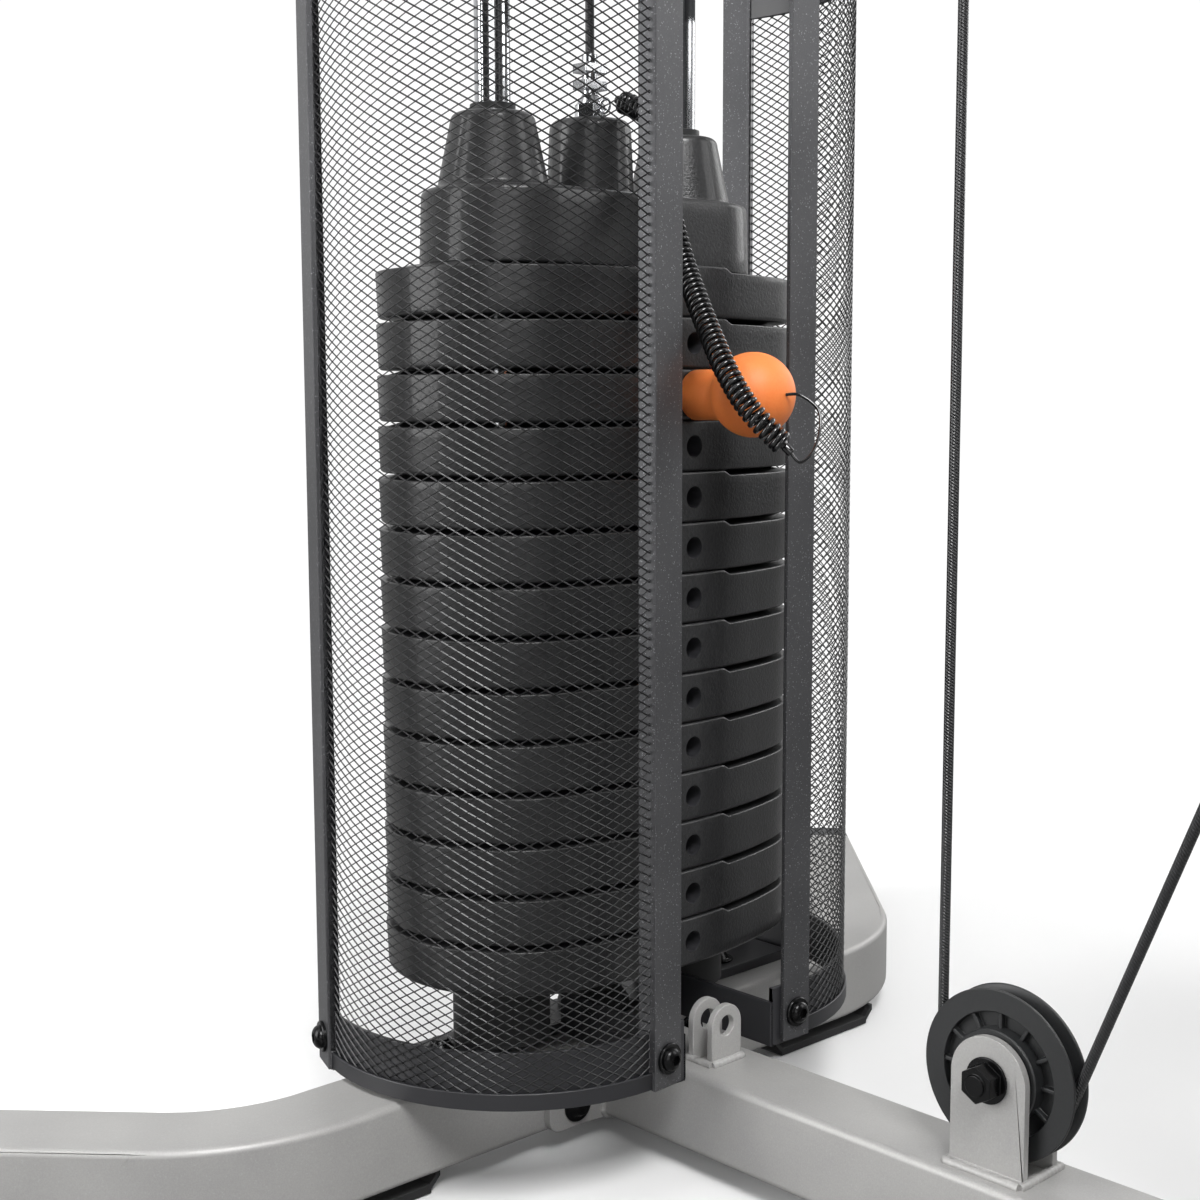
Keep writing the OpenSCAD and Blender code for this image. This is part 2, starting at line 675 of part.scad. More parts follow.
// Shrouds on both sides of the stack
module near_shroud_frame() { color("#26272a") shroud_frame(); }
module near_shroud_screen() { color("#303033") shroud_screen(); }
module far_shroud_frame() { color("#26272a") mirror([1, 0, 0]) shroud_frame(); }
module far_shroud_screen() { color("#303033") mirror([1, 0, 0]) shroud_screen(); }
// Screws of the shrouds
module shroud_bolts() {
    color("#222222") for (s = [0, 1]) mirror([s, 0, 0]) for (a = [strip_front, strip_rear],
        z = [base_top + bolt_rise, carrier_z + bar_t - bolt_rise]) at_strip(a)
        translate([shroud_r, 0, z]) rotate([0, -90, 0]) bolt(screw_d, 2 * sheet_t);
}

// Plan outline of a plate: an oval of four arcs that meet smoothly
module oval(a, b, r) {
    c = a - r;
    big = (c * c + b * b - r * r) / (2 * (b - r));
    meet = c * big / (big - r);
    intersection() {
        translate([0, big - b]) circle(big, $fn = 256);
        translate([0, b - big]) circle(big, $fn = 256);
        square([2 * (meet - seam), 2 * b], center = true);
    }
    for (s = [-1, 1]) translate([s * c, 0]) circle(r, $fn = 128);
}

// One weight plate, its lower face at z
module plate(z) {
    translate([0, 0, z]) difference() {
        linear_extrude(plate_t - seat_gap) oval(plate_a, plate_b, plate_end_r);
        translate([0, 0, -1]) cylinder(h = plate_t + 2, d = selector_d + 1, $fn = 48);
        for (s = [-1, 1]) translate([s * rod_x, 0, -1]) cylinder(h = plate_t + 2, d = rod_d + 3, $fn = 48);
        translate([0, pin_past + 5, plate_t / 2]) rotate([90, 0, 0])
            cylinder(h = plate_b + 30, d = pin_hole, $fn = 32);
        for (s = [-1, 1]) translate([s * (land_half + land_far) / 2 - (land_far - land_half) / 2,
            -plate_b - 1, plate_t - slot_h])
            cube([land_far - land_half, 2 * plate_b + 2, slot_h + 1]);
    }
}

// Plates below the pin, which stay down
module resting_plates() { color("#2b2c2f")
    for (k = [0 : plates - picked - 1]) plate(stack_z + k * plate_t); }
// Plates above the pin, which rise with the head
module lifted_plates() { color("#2b2c2f")
    for (k = [plates - picked : plates - 1]) plate(stack_z + k * plate_t); }
// Cast head on top of the stack
module stack_head() {
    color("#2b2c2f") difference() {
        union() {
            translate([0, 0, stack_top]) linear_extrude(head_h) {
                square([2 * (head_a - head_b), 2 * head_b], center = true);
                for (s = [-1, 1]) translate([s * (head_a - head_b), 0]) circle(head_b, $fn = 96);
            }
            for (s = [-1, 1]) translate([s * rod_x, 0, head_top]) {
                cylinder(h = boss_h - 4, d1 = boss_low_d, d2 = boss_top_d + 1.2, $fn = 64);
                translate([0, 0, boss_h - 4]) cylinder(h = 4, d1 = boss_top_d + 1.2, d2 = boss_top_d - 6,
                    $fn = 64);
            }
            translate([0, 0, head_top]) cylinder(h = boss_h - 9, d1 = 48, d2 = 45, $fn = 64);
            translate([0, 0, boss_top - 9]) cylinder(h = 6, d1 = 45, d2 = 38, $fn = 64);
            translate([0, 0, boss_top - 3]) cylinder(h = 3, d1 = 38, d2 = 28, $fn = 64);
        }
        for (s = [-1, 1]) translate([s * rod_x, 0, stack_top - 1])
            cylinder(h = 200, r = rod_d / 2 + fit + bush_wall, $fn = 48);
        translate([0, 0, stack_top - 1]) cylinder(h = rod_in_head + 1, r = selector_d / 2 + fit, $fn = 48);
        translate([0, 0, stack_top]) cylinder(h = 200, r = stem_d / 2 + fit, $fn = 48);
    }
}

// Plastic bushes in the head, running on the guide rods
module head_bushes() {
    color("ivory") for (s = [-1, 1]) translate([s * rod_x, 0, stack_top]) difference() {
        cylinder(h = boss_top - stack_top, r = rod_d / 2 + fit + bush_wall, $fn = 48);
        translate([0, 0, -1]) cylinder(h = 200, r = rod_d / 2 + fit, $fn = 48);
    }
}

// Rod that hangs from the head through every plate, with one pin hole for each
module selector_rod() {
    color("silver") difference() {
        translate([0, 0, stack_z + 2]) cylinder(h = stack_top + rod_in_head - stack_z - 2, d = selector_d,
            $fn = 48);
        for (k = [0 : plates - 1]) translate([0, 50, stack_z + (k + 0.5) * plate_t]) rotate([90, 0, 0])
            cylinder(h = 100, d = pin_hole, $fn = 32);
    }
}

// Chromed cable end: threaded stem, swivel and two clamps, with the ring for the lanyard
module cable_fitting() {
    color("gainsboro") translate([0, 0, boss_top]) {
        translate([0, 0, -(boss_top - stack_top - rod_in_head)])
            cylinder(h = boss_top - stack_top - rod_in_head + 1, d = stem_d, $fn = 48);
        cylinder(h = 7, d = 18, $fn = 6);
        translate([0, 0, 7]) cylinder(h = 5, d1 = 16, d2 = 10, $fn = 48);
        translate([0, 0, 11.9]) cylinder(h = fitting_h - 11.9, d = 9, $fn = 48);
        for (z = [15, 24]) translate([-8, -5.5, z]) cube([16, 11, 5]);
        translate([0, -12, 5.5]) rotate([0, 90, 0]) rotate_extrude($fn = 48) translate([3.5, 0])
            circle(1, $fn = 24);
    }
}

// Steel pin through the picked plate and the selector rod
module selector_pin() {
    color("gainsboro") translate([0, pin_past, pin_z]) rotate([90, 0, 0])
        cylinder(h = pin_past - knob_y - 2, d = pin_d, $fn = 48);
}

// Orange ball on the pin
module pin_knob() {
    color("#e8762d") translate([0, 0, pin_z]) difference() {
        union() {
            translate([0, -plate_b - soft_gap, 0]) rotate([90, 0, 0])
                cylinder(h = neck_len + 8, d = neck_d, $fn = 64);
            translate([0, knob_y, 0]) sphere(d = knob_d, $fn = 64);
        }
        translate([0, 0, 0]) rotate([90, 0, 0]) cylinder(h = -knob_y + 2, d = pin_d, $fn = 48);
    }
}

// Route of the lanyard's middle line, from the ring on the head down to the ball's front
lanyard_route = [[1, -24, 573], [3, -42, 564], [-1, -56, 545], [-9, -68, 525], [-16, -79, 506],
    [-19, -90, 484], [-23, -103, 465], [-27, -117, 446], [-31, -132, 427], [-29, -146, 408],
    [-18, -158, 391]];
// Point at u from 0 to 1 of a smooth curve through the points p
function smooth(p, u) = let (n = len(p) - 1, f = min(max(u, 0), 0.99999) * n, k = floor(f), t = f - k,
    a = p[max(k - 1, 0)], b = p[k], c = p[k + 1], d = p[min(k + 2, n)])
    0.5 * (2 * b + (c - a) * t + (2 * a - 5 * b + 4 * c - d) * t * t + (3 * b - a - 3 * c + d) * t * t * t);
// Direction of that curve at u
function smooth_dir(p, u) = unit(smooth(p, u + 0.01) - smooth(p, u - 0.01));
coil_rings = curls * rings_per_curl;
// Helix about the route. Its radius grows from nothing at the ends, where the wire runs straight.
coil_points = [for (k = [-1 : coil_rings + 1]) let (u = min(max(k, 0), coil_rings) / coil_rings,
    t = smooth_dir(lanyard_route, u), n = unit(cross(t, [1, 0, 0])), m = cross(t, n), a = 360 * u * curls,
    grow = min(1, 2 * min(u, 1 - u) * curls), r = (coil_d - wire_d) / 2 * grow,
    over = k < 0 ? -wire_d : k > coil_rings ? wire_d : 0)
    smooth(lanyard_route, u) + r * (cos(a) * n + sin(a) * m) + over * t];
// Least gap between one curl and the next, over points about one turn apart
coil_gap = min([for (k = [0 : len(coil_points) - rings_per_curl - 3],
    j = [rings_per_curl - 2 : rings_per_curl + 2])
    norm(coil_points[k + j] - coil_points[k])]) - wire_d;
echo(coil_gap = coil_gap);
// Coiled cord between the head and the ball
module lanyard() { color("#151515") sweep(coil_points, wire_d, 6); }
// Thin end wires of the lanyard with their ferrules
module lanyard_ends() {
    first = coil_points[0];
    last = coil_points[len(coil_points) - 1];
    out_dir = smooth_dir(lanyard_route, 1);
    wire = concat([last + (ferrule_len - 1) * out_dir, last + 2 * ferrule_len * out_dir], end_route,
        [[0, knob_y - knob_d / 2 - soft_gap, pin_z]]);
    color("#202020") {
        bar(first, first - 4 * smooth_dir(lanyard_route, 0), ferrule_d, 24);
        bar(last, last + ferrule_len * out_dir, ferrule_d, 24);
        for (k = [1 : len(wire) - 1]) bar(wire[k - 1], wire[k], end_wire_d, 24);
        for (k = [1 : len(wire) - 2]) translate(wire[k]) sphere(d = end_wire_d + 0.3, $fn = 24);
    }
}

// Pulley on an axle along X, centred at the origin, with ribs on both faces
module wheel() {
    rotate([0, 90, 0]) difference() {
        union() {
            rotate_extrude($fn = 96) {
                difference() {
                    translate([wheel_r - 10.8, -rim_w / 2]) square([10.8, rim_w]);
                    translate([pitch_r, 0]) circle(cable_d / 2 + 0.2, $fn = 32);
                    polygon([[pitch_r, -cable_d / 2 - 0.2], [wheel_r + 1, -rim_w / 2 + 1.2],
                        [wheel_r + 1, rim_w / 2 - 1.2], [pitch_r, cable_d / 2 + 0.2]]);
                }
                translate([axle_d / 2 + fit, -2]) square([wheel_r - 10.7 - axle_d / 2, 4]);
                translate([axle_d / 2 + fit, -hub_w / 2]) square([8, hub_w]);
            }
            for (k = [0 : 5]) rotate([0, 0, 30 * k]) difference() {
                cube([2 * wheel_r - 21.4, 2, rim_w - 2], center = true);
                cylinder(h = rim_w, d = axle_d + 8, center = true, $fn = 48);
            }
        }
    }
}

// The pulleys, from the stack forward, then the low one and the floating one
module rear_top_pulley() { color("#1d1d1f") translate([0, rise_y, axle_z]) wheel(); }
module middle_top_pulley() { color("#1d1d1f") translate([0, turn_y, axle_z]) wheel(); }
module drop_top_pulley() { color("#1d1d1f") translate([0, drop_y, axle_z]) wheel(); }
module front_top_pulley() { color("#1d1d1f") translate([0, -front_axle, axle_z]) wheel(); }
module low_pulley() { color("#1d1d1f") translate([0, low_y, low_z]) wheel(); }
module float_pulley() { color("#1d1d1f") translate([0, float_y, float_z]) wheel(); }
// Two plates with round ends at y, from the axle height z to the height z_root
module ears(y, z, z_root, w) {
    for (s = [-1, 1]) translate([s * (ear_in + ear_t / 2), y, 0]) rotate([90, 0, 90]) difference() {
        linear_extrude(ear_t, center = true) {
            translate([0, z]) circle(d = w, $fn = 64);
            translate([-w / 2, min(z, z_root)]) square([w, abs(z_root - z)]);
        }
        translate([0, z, 0]) cylinder(h = ear_t + 2, r = axle_d / 2 + fit, center = true, $fn = 48);
    }
}

// Four pairs of ears under the boom
module boom_pulley_ears() { color("silver") for (y = [rise_y, turn_y, drop_y, -front_axle])
    ears(y, axle_z, boom_low, 40); }
// Clevis of the low pulley, with its weld beads on the rail
module low_pulley_clevis() {
    color("silver") {
        ears(low_y, low_z, base_top, 40.5);
        for (s = [-1, 1]) translate([s * (ear_in + ear_t), low_y, base_top]) rotate([90, 0, 0])
            intersection() {
            cylinder(h = 40, r = weld_r, center = true, $fn = 32);
            translate([-weld_r, 0, -25]) cube([2 * weld_r, weld_r, 50]);
        }
    }
}

// Small clevis on the rail near the stack
module anchor_clevis() {
    color("silver") for (y = [-88, -102]) translate([0, y, 0]) rotate([90, 0, 0]) difference() {
        linear_extrude(4) {
            translate([0, base_top + 20.5]) circle(r = 11.5, $fn = 48);
            translate([-11.5, base_top]) square([23, 20.5]);
        }
        translate([0, base_top + 20.5, -1]) cylinder(h = 6, d = 11, $fn = 48);
    }
}

// Bolts that carry the pulleys, with their nuts
module pulley_axles() {
    color("#222222") for (p = [[rise_y, axle_z], [turn_y, axle_z], [drop_y, axle_z],
        [-front_axle, axle_z], [low_y, low_z]])
        translate([ear_in + ear_t, p[0], p[1]]) rotate([0, -90, 0]) bolt(axle_d, 2 * (ear_in + ear_t));
}

// Two stretches of cable over the top pulleys, one behind the floating pulley and one before it
module top_cables() {
    color("#101010") for (e = [[rise_y, turn_y], [drop_y, -front_axle]])
        sweep(concat(arc_yz(e[0], axle_z, pitch_r, 0, 90, 8), arc_yz(e[1], axle_z, pitch_r, 90, 180, 8)),
            cable_d);
}

// Upright stretches of cable, which grow or shrink as the bodies on them move
module stack_cable() { color("#101010") translate([0, 0, fitting_top])
    cylinder(h = axle_z - fitting_top, d = strand_d, $fn = 32); }
module float_strands() {
    color("#101010") for (s = [-1, 1]) translate([0, float_y + s * pitch_r, float_z + soft_gap])
        cylinder(h = axle_z - float_z - soft_gap, d = strand_d, $fn = 32);
}

module low_cable_rise() { color("#101010") translate([0, low_y + pitch_r, low_z])
    cylinder(h = clamp_z - low_z, d = strand_d, $fn = 32); }
module lat_cable() { color("#101010") translate([0, lat_y, hook_z])
    cylinder(h = axle_z - hook_z, d = strand_d, $fn = 32); }
// Cable from under the low pulley up to the press cam
module press_cable() {
    color("#101010") sweep(concat(arc_yz(low_y, low_z, pitch_r, 0, -180 + cable_a, 14),
        [[0, -pivot_y + cam_r * cos(cable_a), pivot_z + cam_r * sin(cable_a)]]), cable_d);
}

// Two uprights on the rail with the press arm's bearings
module pivot_stand() {
    color("silver") for (s = [-1, 1]) translate([s * (tube_w + stand_t) / 2, -pivot_y, 0])
        rotate([90, 0, 90]) difference() {
        linear_extrude(stand_t, center = true) {
            translate([0, pivot_z]) circle(r = arm_d / 2 + bush_t + 10, $fn = 64);
            polygon([[-36, base_lift + 6], [36, base_lift + 6], [arm_d / 2 + bush_t + 9.5, pivot_z],
                [-arm_d / 2 - bush_t - 9.5, pivot_z]]);
        }
        translate([0, pivot_z, 0]) cylinder(h = 20, r = arm_d / 2 + fit + bush_t, center = true, $fn = 64);
    }
}

// Plastic bearings of the press arm
module pivot_bushes() {
    color("ivory") for (s = [-1, 1]) translate([s * (tube_w / 2 + stand_t / 2 + 2), -pivot_y, pivot_z])
        difference() {
        disc_x(2 * (arm_d / 2 + fit + bush_t), stand_t + 4);
        disc_x(arm_d + 2 * fit, 20);
    }
}

// Seat tube with its front post and boards
module seat_frame() {
    color("silver") {
        tube_y(-mast_front, -seat_front, tube_w, tube_h, seat_tube_top - tube_h);
        translate([0, -seat_front + 40, base_top]) linear_extrude(seat_tube_top - tube_h - base_top)
            tube_section(tube_w, tube_w);
    }
    color("#1c1c1e") translate([-seat_half + 30, seat_y - seat_len + 60, seat_tube_top])
        cube([2 * seat_half - 60, seat_len - 90, 3]);
}

// Cheeks on the seat tube with the leg lever's pivot and the knee rollers' rod
module leg_pivot_bracket() {
    color("silver") {
        for (s = [-1, 1]) translate([s * (tube_w + link_t) / 2, 0, 0]) rotate([90, 0, 90])
            linear_extrude(link_t, center = true) difference() {
            union() {
                polygon([[-seat_front + 40, seat_tube_top - tube_h + 4],
                    [-seat_front + 40, seat_tube_top - 3], [-seat_edge - 2, seat_tube_top - 3],
                    [knee_y, knee_z + 16],
                    [knee_y - 14, knee_z + 8], [knee_y - 14, knee_z - 10], [leg_y - 20, leg_z - 20],
                        [leg_y, leg_z - 26]]);
                translate([leg_y, leg_z]) circle(r = 26, $fn = 64);
                translate([knee_y, knee_z]) circle(r = 16, $fn = 64);
            }
            translate([leg_y, leg_z]) circle(r = axle_d / 2 + fit, $fn = 48);
        }
        translate([0, leg_y, leg_z]) disc_x(axle_d, tube_w + 2 * link_t + 8, 48);
        translate([0, knee_y, knee_z]) disc_x(20, tube_w + 2 * link_t + 2 * roller_len + 14);
    }
}

// Foam roller along X from x to x + roller_len, with rounded edges
module roller(x) {
    e = 10;
    translate([x, 0, 0]) rotate([0, 90, 0]) difference() {
        union() {
            translate([0, 0, e]) cylinder(h = roller_len - 2 * e, d = roller_d, $fn = 96);
            for (z = [e, roller_len - e]) translate([0, 0, z]) rotate_extrude($fn = 96)
                translate([roller_d / 2 - e, 0]) circle(e, $fn = 48);
            cylinder(h = roller_len, d = roller_d - 2 * e, $fn = 96);
        }
        translate([0, 0, -1]) cylinder(h = roller_len + 2, r = 10 + soft_gap, $fn = 48);
    }
}

// Two rollers on one rod, left and right of the seat tube
module roller_pair() { for (s = [0, 1]) mirror([s, 0, 0]) roller(tube_w / 2 + link_t + 4); }
module knee_rollers() { color("#2a2a2c") translate([0, knee_y, knee_z]) roller_pair(); }
// Cushion on the plane z = 0 with drawn-in sides and a crown, 2a by 2b, t thick
pad_levels = [[0.965, 0], [0.985, 0.12], [0.992, 0.3], [0.985, 0.42], [1, 0.55], [0.995, 0.72],
    [0.965, 0.86], [0.88, 0.945], [0.6, 0.985], [0.3, 0.998]];
pad_n = 40;
// Rounded outline of a pad, 2a by 2b, drawn in by the share s, at height z
function pad_ring(a, b, s, z) = [for (k = [0 : pad_n - 1])
    let (c = cos(360 * k / pad_n), d = sin(360 * k / pad_n),
    q = 0.34) [(a - (1 - s) * min(a, b)) * sign(c) * pow(abs(c), q),
        (b - (1 - s) * min(a, b)) * sign(d) * pow(abs(d), q), z]];
module cushion(a, b, t) {
    m = len(pad_levels);
    points = concat([for (l = pad_levels) each pad_ring(a, b, l[0], l[1] * t)], [[0, 0, 0], [0, 0, t]]);
    sides = [for (k = [0 : m - 2], j = [0 : pad_n - 1])
        let (p = k * pad_n + j, r = k * pad_n + (j + 1) % pad_n)
        each [[p, p + pad_n, r], [r, p + pad_n, r + pad_n]]];
    bottom = [for (j = [0 : pad_n - 1]) [j, (j + 1) % pad_n, m * pad_n]];
    top = [for (j = [0 : pad_n - 1]) [(m - 1) * pad_n + (j + 1) % pad_n, (m - 1) * pad_n + j,
        m * pad_n + 1]];
    polyhedron(points, concat(sides, bottom, top));
}

// Seat and back pads, each a cushion on its board
module seat_pad() {
    color("#1b1b1d") translate([0, seat_y - seat_len / 2, seat_tube_top + 3]) {
        translate([-seat_half + 12, -seat_len / 2 + 12, 0])
            cube([2 * seat_half - 24, seat_len - 24, seat_board]);
        translate([0, 0, seat_board]) cushion(seat_half, seat_len / 2, pad_t - seat_board);
    }
}

module back_pad() {
    color("#1b1b1d") translate([0, -mast_front, back_low + back_len / 2]) rotate([90, 0, 0]) {
        translate([-back_half + 12, -back_len / 2 + 12, 0])
            cube([2 * back_half - 24, back_len - 24, seat_board]);
        translate([0, 0, seat_board]) cushion(back_half, back_len / 2, pad_t - seat_board);
    }
}

// Hanger of the floating pulley with the clamp of the low cable
module float_block() {
    color("silver") {
        ears(float_y, float_z, float_z - 62, 36);
        translate([-ear_in - ear_t, float_y - 18, float_z - 66]) cube([2 * (ear_in + ear_t), 36, 4.1]);
        translate([0, float_y, clamp_z]) cylinder(h = 9.1, d = 14, $fn = 48);
    }
    color("#101010") sweep(arc_yz(float_y, float_z, pitch_r, -180, 0, 16), cable_d);
    color("#222222") translate([ear_in + ear_t, float_y, float_z]) rotate([0, -90, 0])
        bolt(axle_d, 2 * (ear_in + ear_t));
}

// Press arm: cross tube, cam with its cable end, and two bent side tubes with handles
module press_arm() {
    color("silver") difference() {
        union() {
            translate([0, -pivot_y, pivot_z]) disc_x(arm_d, 2 * arm_half, 64);
            for (s = [-1, 1]) {
                for (k = [0 : len(arm_points) - 2])
                    bar([s * arm_half, arm_points[k][0], arm_points[k][1]],
                        [s * arm_half, arm_points[k + 1][0], arm_points[k + 1][1]], arm_d);
                for (p = arm_points) translate([s * arm_half, p[0], p[1]])
                    sphere(d = arm_d + 1.2, $fn = 48);
                bar([s * arm_half, arm_points[3][0], arm_points[3][1]],
                    [s * (arm_half - 30 - grip_len), arm_points[3][0], arm_points[3][1]], 28);
            }
            translate([0, -pivot_y, pivot_z]) rotate([90, 0, 90]) linear_extrude(cam_w, center = true)
                polygon(concat([[0, 0]], [for (k = [0 : 24])
                    let (a = cam_first + (cam_last - cam_first) * k / 24)
                    (cam_r + 4) * [cos(a), sin(a)]]));
        }
        translate([0, -pivot_y, pivot_z]) rotate([0, 90, 0]) rotate_extrude($fn = 256) {
            translate([cam_r, 0]) circle(cable_d / 2 + 0.2, $fn = 32);
            translate([cam_r, -cable_d / 2 - 0.2]) square([10, cable_d + 0.4]);
        }
        translate([0, -pivot_y, pivot_z]) rotate([90, 0, 90]) for (r = [85, 140])
            rotate([0, 0, (cam_first + cam_last) / 2])
            translate([r, 0, 0]) cylinder(h = 40, d = r / 3.4, center = true, $fn = 48);
    }
    color("#101010") translate([0, -pivot_y, pivot_z]) rotate([90, 0, 90]) rotate([0, 0, cable_a + 0.6])
        rotate_extrude(angle = 12, $fn = 256) translate([cam_r, 0]) circle(d = cable_d, $fn = 32);
}

// Rubber grips on the press handles
module press_grips() {
    color("#1b1b1d") for (s = [-1, 1]) difference() {
        bar([s * (arm_half - 30), arm_points[3][0], arm_points[3][1]],
            [s * (arm_half - 30 - grip_len - 4), arm_points[3][0], arm_points[3][1]], 36);
        bar([s * arm_half, arm_points[3][0], arm_points[3][1]],
            [s * (arm_half - 30 - grip_len), arm_points[3][0], arm_points[3][1]], 28);
    }
}

// Lever that swings forward from the seat, with the ankle rollers' rod
module leg_lever() {
    color("silver") difference() {
        union() {
            translate([0, leg_y, leg_z]) disc_x(44, tube_w - 1);
            bar([0, leg_y, leg_z], [0, lever_y, lever_z], 40);
            translate([0, lever_y, lever_z]) disc_x(40, 44);
            translate([0, lever_y, lever_z]) disc_x(20, tube_w + 2 * link_t + 2 * roller_len + 14);
        }
        translate([0, leg_y, leg_z]) disc_x(axle_d + 2 * fit, tube_w + 10, 48);
    }
}

// Rollers at the lower end of the lever
module ankle_rollers() { color("#2a2a2c") translate([0, lever_y, lever_z]) roller_pair(); }
// Lat bar with its bent ends, grips and hanger
module lat_bar() {
    color("gainsboro") translate([0, lat_y, lat_z]) {
        disc_x(lat_d, 2 * lat_half, 48);
        for (s = [-1, 1]) {
            translate([s * lat_half, 0, 0]) sphere(d = lat_d + 1, $fn = 48);
            bar([s * lat_half, 0, 0], [s * (lat_half + lat_out), 0, -lat_drop], lat_d);
        }
        translate([-4, -11, 0]) cube([8, 22, 26]);
        translate([0, 0, 34]) rotate([90, 0, 0]) rotate_extrude($fn = 64) translate([11, 0])
            circle(3, $fn = 24);
        translate([0, 0, 44]) cylinder(h = 18, d = 12, $fn = 48);
    }
}

// Rubber grips on the lat bar's ends
module lat_grips() {
    color("#1b1b1d") translate([0, lat_y, lat_z]) for (s = [-1, 1]) difference() {
        bar([s * (lat_half + 25), 0, -lat_drop * 25 / lat_out],
            [s * (lat_half + lat_out + 3), 0, -lat_drop * (1 + 3 / lat_out)], lat_d + 7);
        bar([s * lat_half, 0, 0], [s * (lat_half + lat_out), 0, -lat_drop], lat_d);
    }
}
stabiliser();
main_rail();
front_foot();
end_caps();
floor_feet();
frame_bolts();
base_bar();
buffers();
guide_rods();
rod_top_plate();
mast();
mast_link_plates();
top_boom();
shroud_brackets();
shroud_top_carrier();
near_shroud_frame();
near_shroud_screen();
far_shroud_frame();
far_shroud_screen();
shroud_bolts();
resting_plates();
boom_pulley_ears();
low_pulley_clevis();
anchor_clevis();
pulley_axles();
top_cables();
press_cable();
pivot_stand();
pivot_bushes();
seat_frame();
leg_pivot_bracket();
seat_pad();
back_pad();
knee_rollers();
stack_cable();
float_strands();
low_cable_rise();
lat_cable();
stack_head();
head_bushes();
selector_rod();
lifted_plates();
cable_fitting();
selector_pin();
pin_knob();
lanyard();
lanyard_ends();
rear_top_pulley();
middle_top_pulley();
drop_top_pulley();
front_top_pulley();
low_pulley();
float_block();
float_pulley();
press_arm();
press_grips();
leg_lever();
ankle_rollers();
lat_bar();
lat_grips();
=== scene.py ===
"""Looks of a multi gym with one weight stack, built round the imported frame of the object.

Lengths are millimetres in the frame of the object, unless a docstring says metres: the origin is
on the floor under the middle of the stack, +Z is up and -Y points to the seat.
"""
import logging
import math
from collections.abc import Callable, Iterator, Sequence
from contextlib import contextmanager
from dataclasses import dataclass, field
from enum import Enum
from typing import Any

import bmesh
import bpy
import numpy as np
from mathutils import Matrix, Vector

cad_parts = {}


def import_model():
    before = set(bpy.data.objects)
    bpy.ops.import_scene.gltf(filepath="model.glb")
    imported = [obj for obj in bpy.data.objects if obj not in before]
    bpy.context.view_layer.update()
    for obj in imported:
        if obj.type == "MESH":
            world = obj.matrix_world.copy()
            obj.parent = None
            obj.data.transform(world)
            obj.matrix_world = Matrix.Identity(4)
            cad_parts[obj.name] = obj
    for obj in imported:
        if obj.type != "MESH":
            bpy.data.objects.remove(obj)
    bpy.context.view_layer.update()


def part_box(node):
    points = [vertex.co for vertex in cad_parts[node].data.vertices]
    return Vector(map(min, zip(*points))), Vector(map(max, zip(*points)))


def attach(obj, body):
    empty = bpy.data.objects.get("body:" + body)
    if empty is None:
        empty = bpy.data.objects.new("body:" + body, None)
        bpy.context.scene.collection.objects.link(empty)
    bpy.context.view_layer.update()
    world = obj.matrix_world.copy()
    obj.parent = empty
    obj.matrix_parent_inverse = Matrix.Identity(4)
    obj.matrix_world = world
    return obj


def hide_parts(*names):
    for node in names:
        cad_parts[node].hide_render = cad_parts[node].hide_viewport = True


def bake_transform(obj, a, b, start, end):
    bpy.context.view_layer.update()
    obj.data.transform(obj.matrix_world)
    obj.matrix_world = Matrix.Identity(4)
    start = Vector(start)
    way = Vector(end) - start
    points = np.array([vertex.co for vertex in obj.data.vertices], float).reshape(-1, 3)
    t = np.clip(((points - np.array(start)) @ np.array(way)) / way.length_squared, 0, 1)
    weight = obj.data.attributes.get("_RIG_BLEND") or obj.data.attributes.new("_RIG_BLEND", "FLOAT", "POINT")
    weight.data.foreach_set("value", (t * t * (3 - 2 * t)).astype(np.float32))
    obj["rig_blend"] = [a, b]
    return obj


LOG = logging.getLogger("multi_gym")
MM = 0.001
UP = np.array([0, 0, 1.0])
Points = np.ndarray
Colour = tuple[float, float, float, float]
Piece = bpy.types.Object
Tree = bpy.types.NodeTree
Socket = bpy.types.NodeSocket


class Body(Enum):
    """Bodies of the object that pieces ride on."""

    ROOT = "root"
    STACK = "lifted_stack"
    PIN = "stack_pin"
    FLOAT = "float_hanger"
    PRESS = "press"
    LEG = "leg"
    LAT = "lat"
    REAR_WHEEL = "rear_top_wheel"
    MIDDLE_WHEEL = "middle_top_wheel"
    DROP_WHEEL = "drop_top_wheel"
    FRONT_WHEEL = "front_top_wheel"
    LOW_WHEEL = "low_wheel"
    FLOAT_WHEEL = "float_wheel"


def linear(hex_colour: str) -> Colour:
    """Turns an sRGB hex colour, such as "#b4b6ba", into a linear RGBA colour."""
    raw = [int(hex_colour[i:i + 2], 16) / 255 for i in (1, 3, 5)]
    return tuple([c / 12.92 if c <= 0.04045 else ((c + 0.055) / 1.055) ** 2.4 for c in raw] + [1.0])


def grey(value: float) -> Colour:
    """Returns a grey of a linear value as an RGBA colour."""
    return value, value, value, 1.0


def add_node(tree: Tree, kind: str, settings: dict[str | int, Any] | None = None) -> bpy.types.Node:
    """Adds a node with its settings and links.

    Args:
        tree: The node tree.
        kind: The node's type name, without the leading "ShaderNode".
        settings: Values for the node's attributes or inputs. An output socket is linked to its input.

    Returns:
        The new node.
    """
    node = tree.nodes.new("ShaderNode" + kind)
    for name, value in (settings or {}).items():
        if isinstance(value, Socket):
            tree.links.new(value, node.inputs[name])
        elif isinstance(name, str) and hasattr(node, name):
            setattr(node, name, value)
        else:
            node.inputs[name].default_value = value
    return node


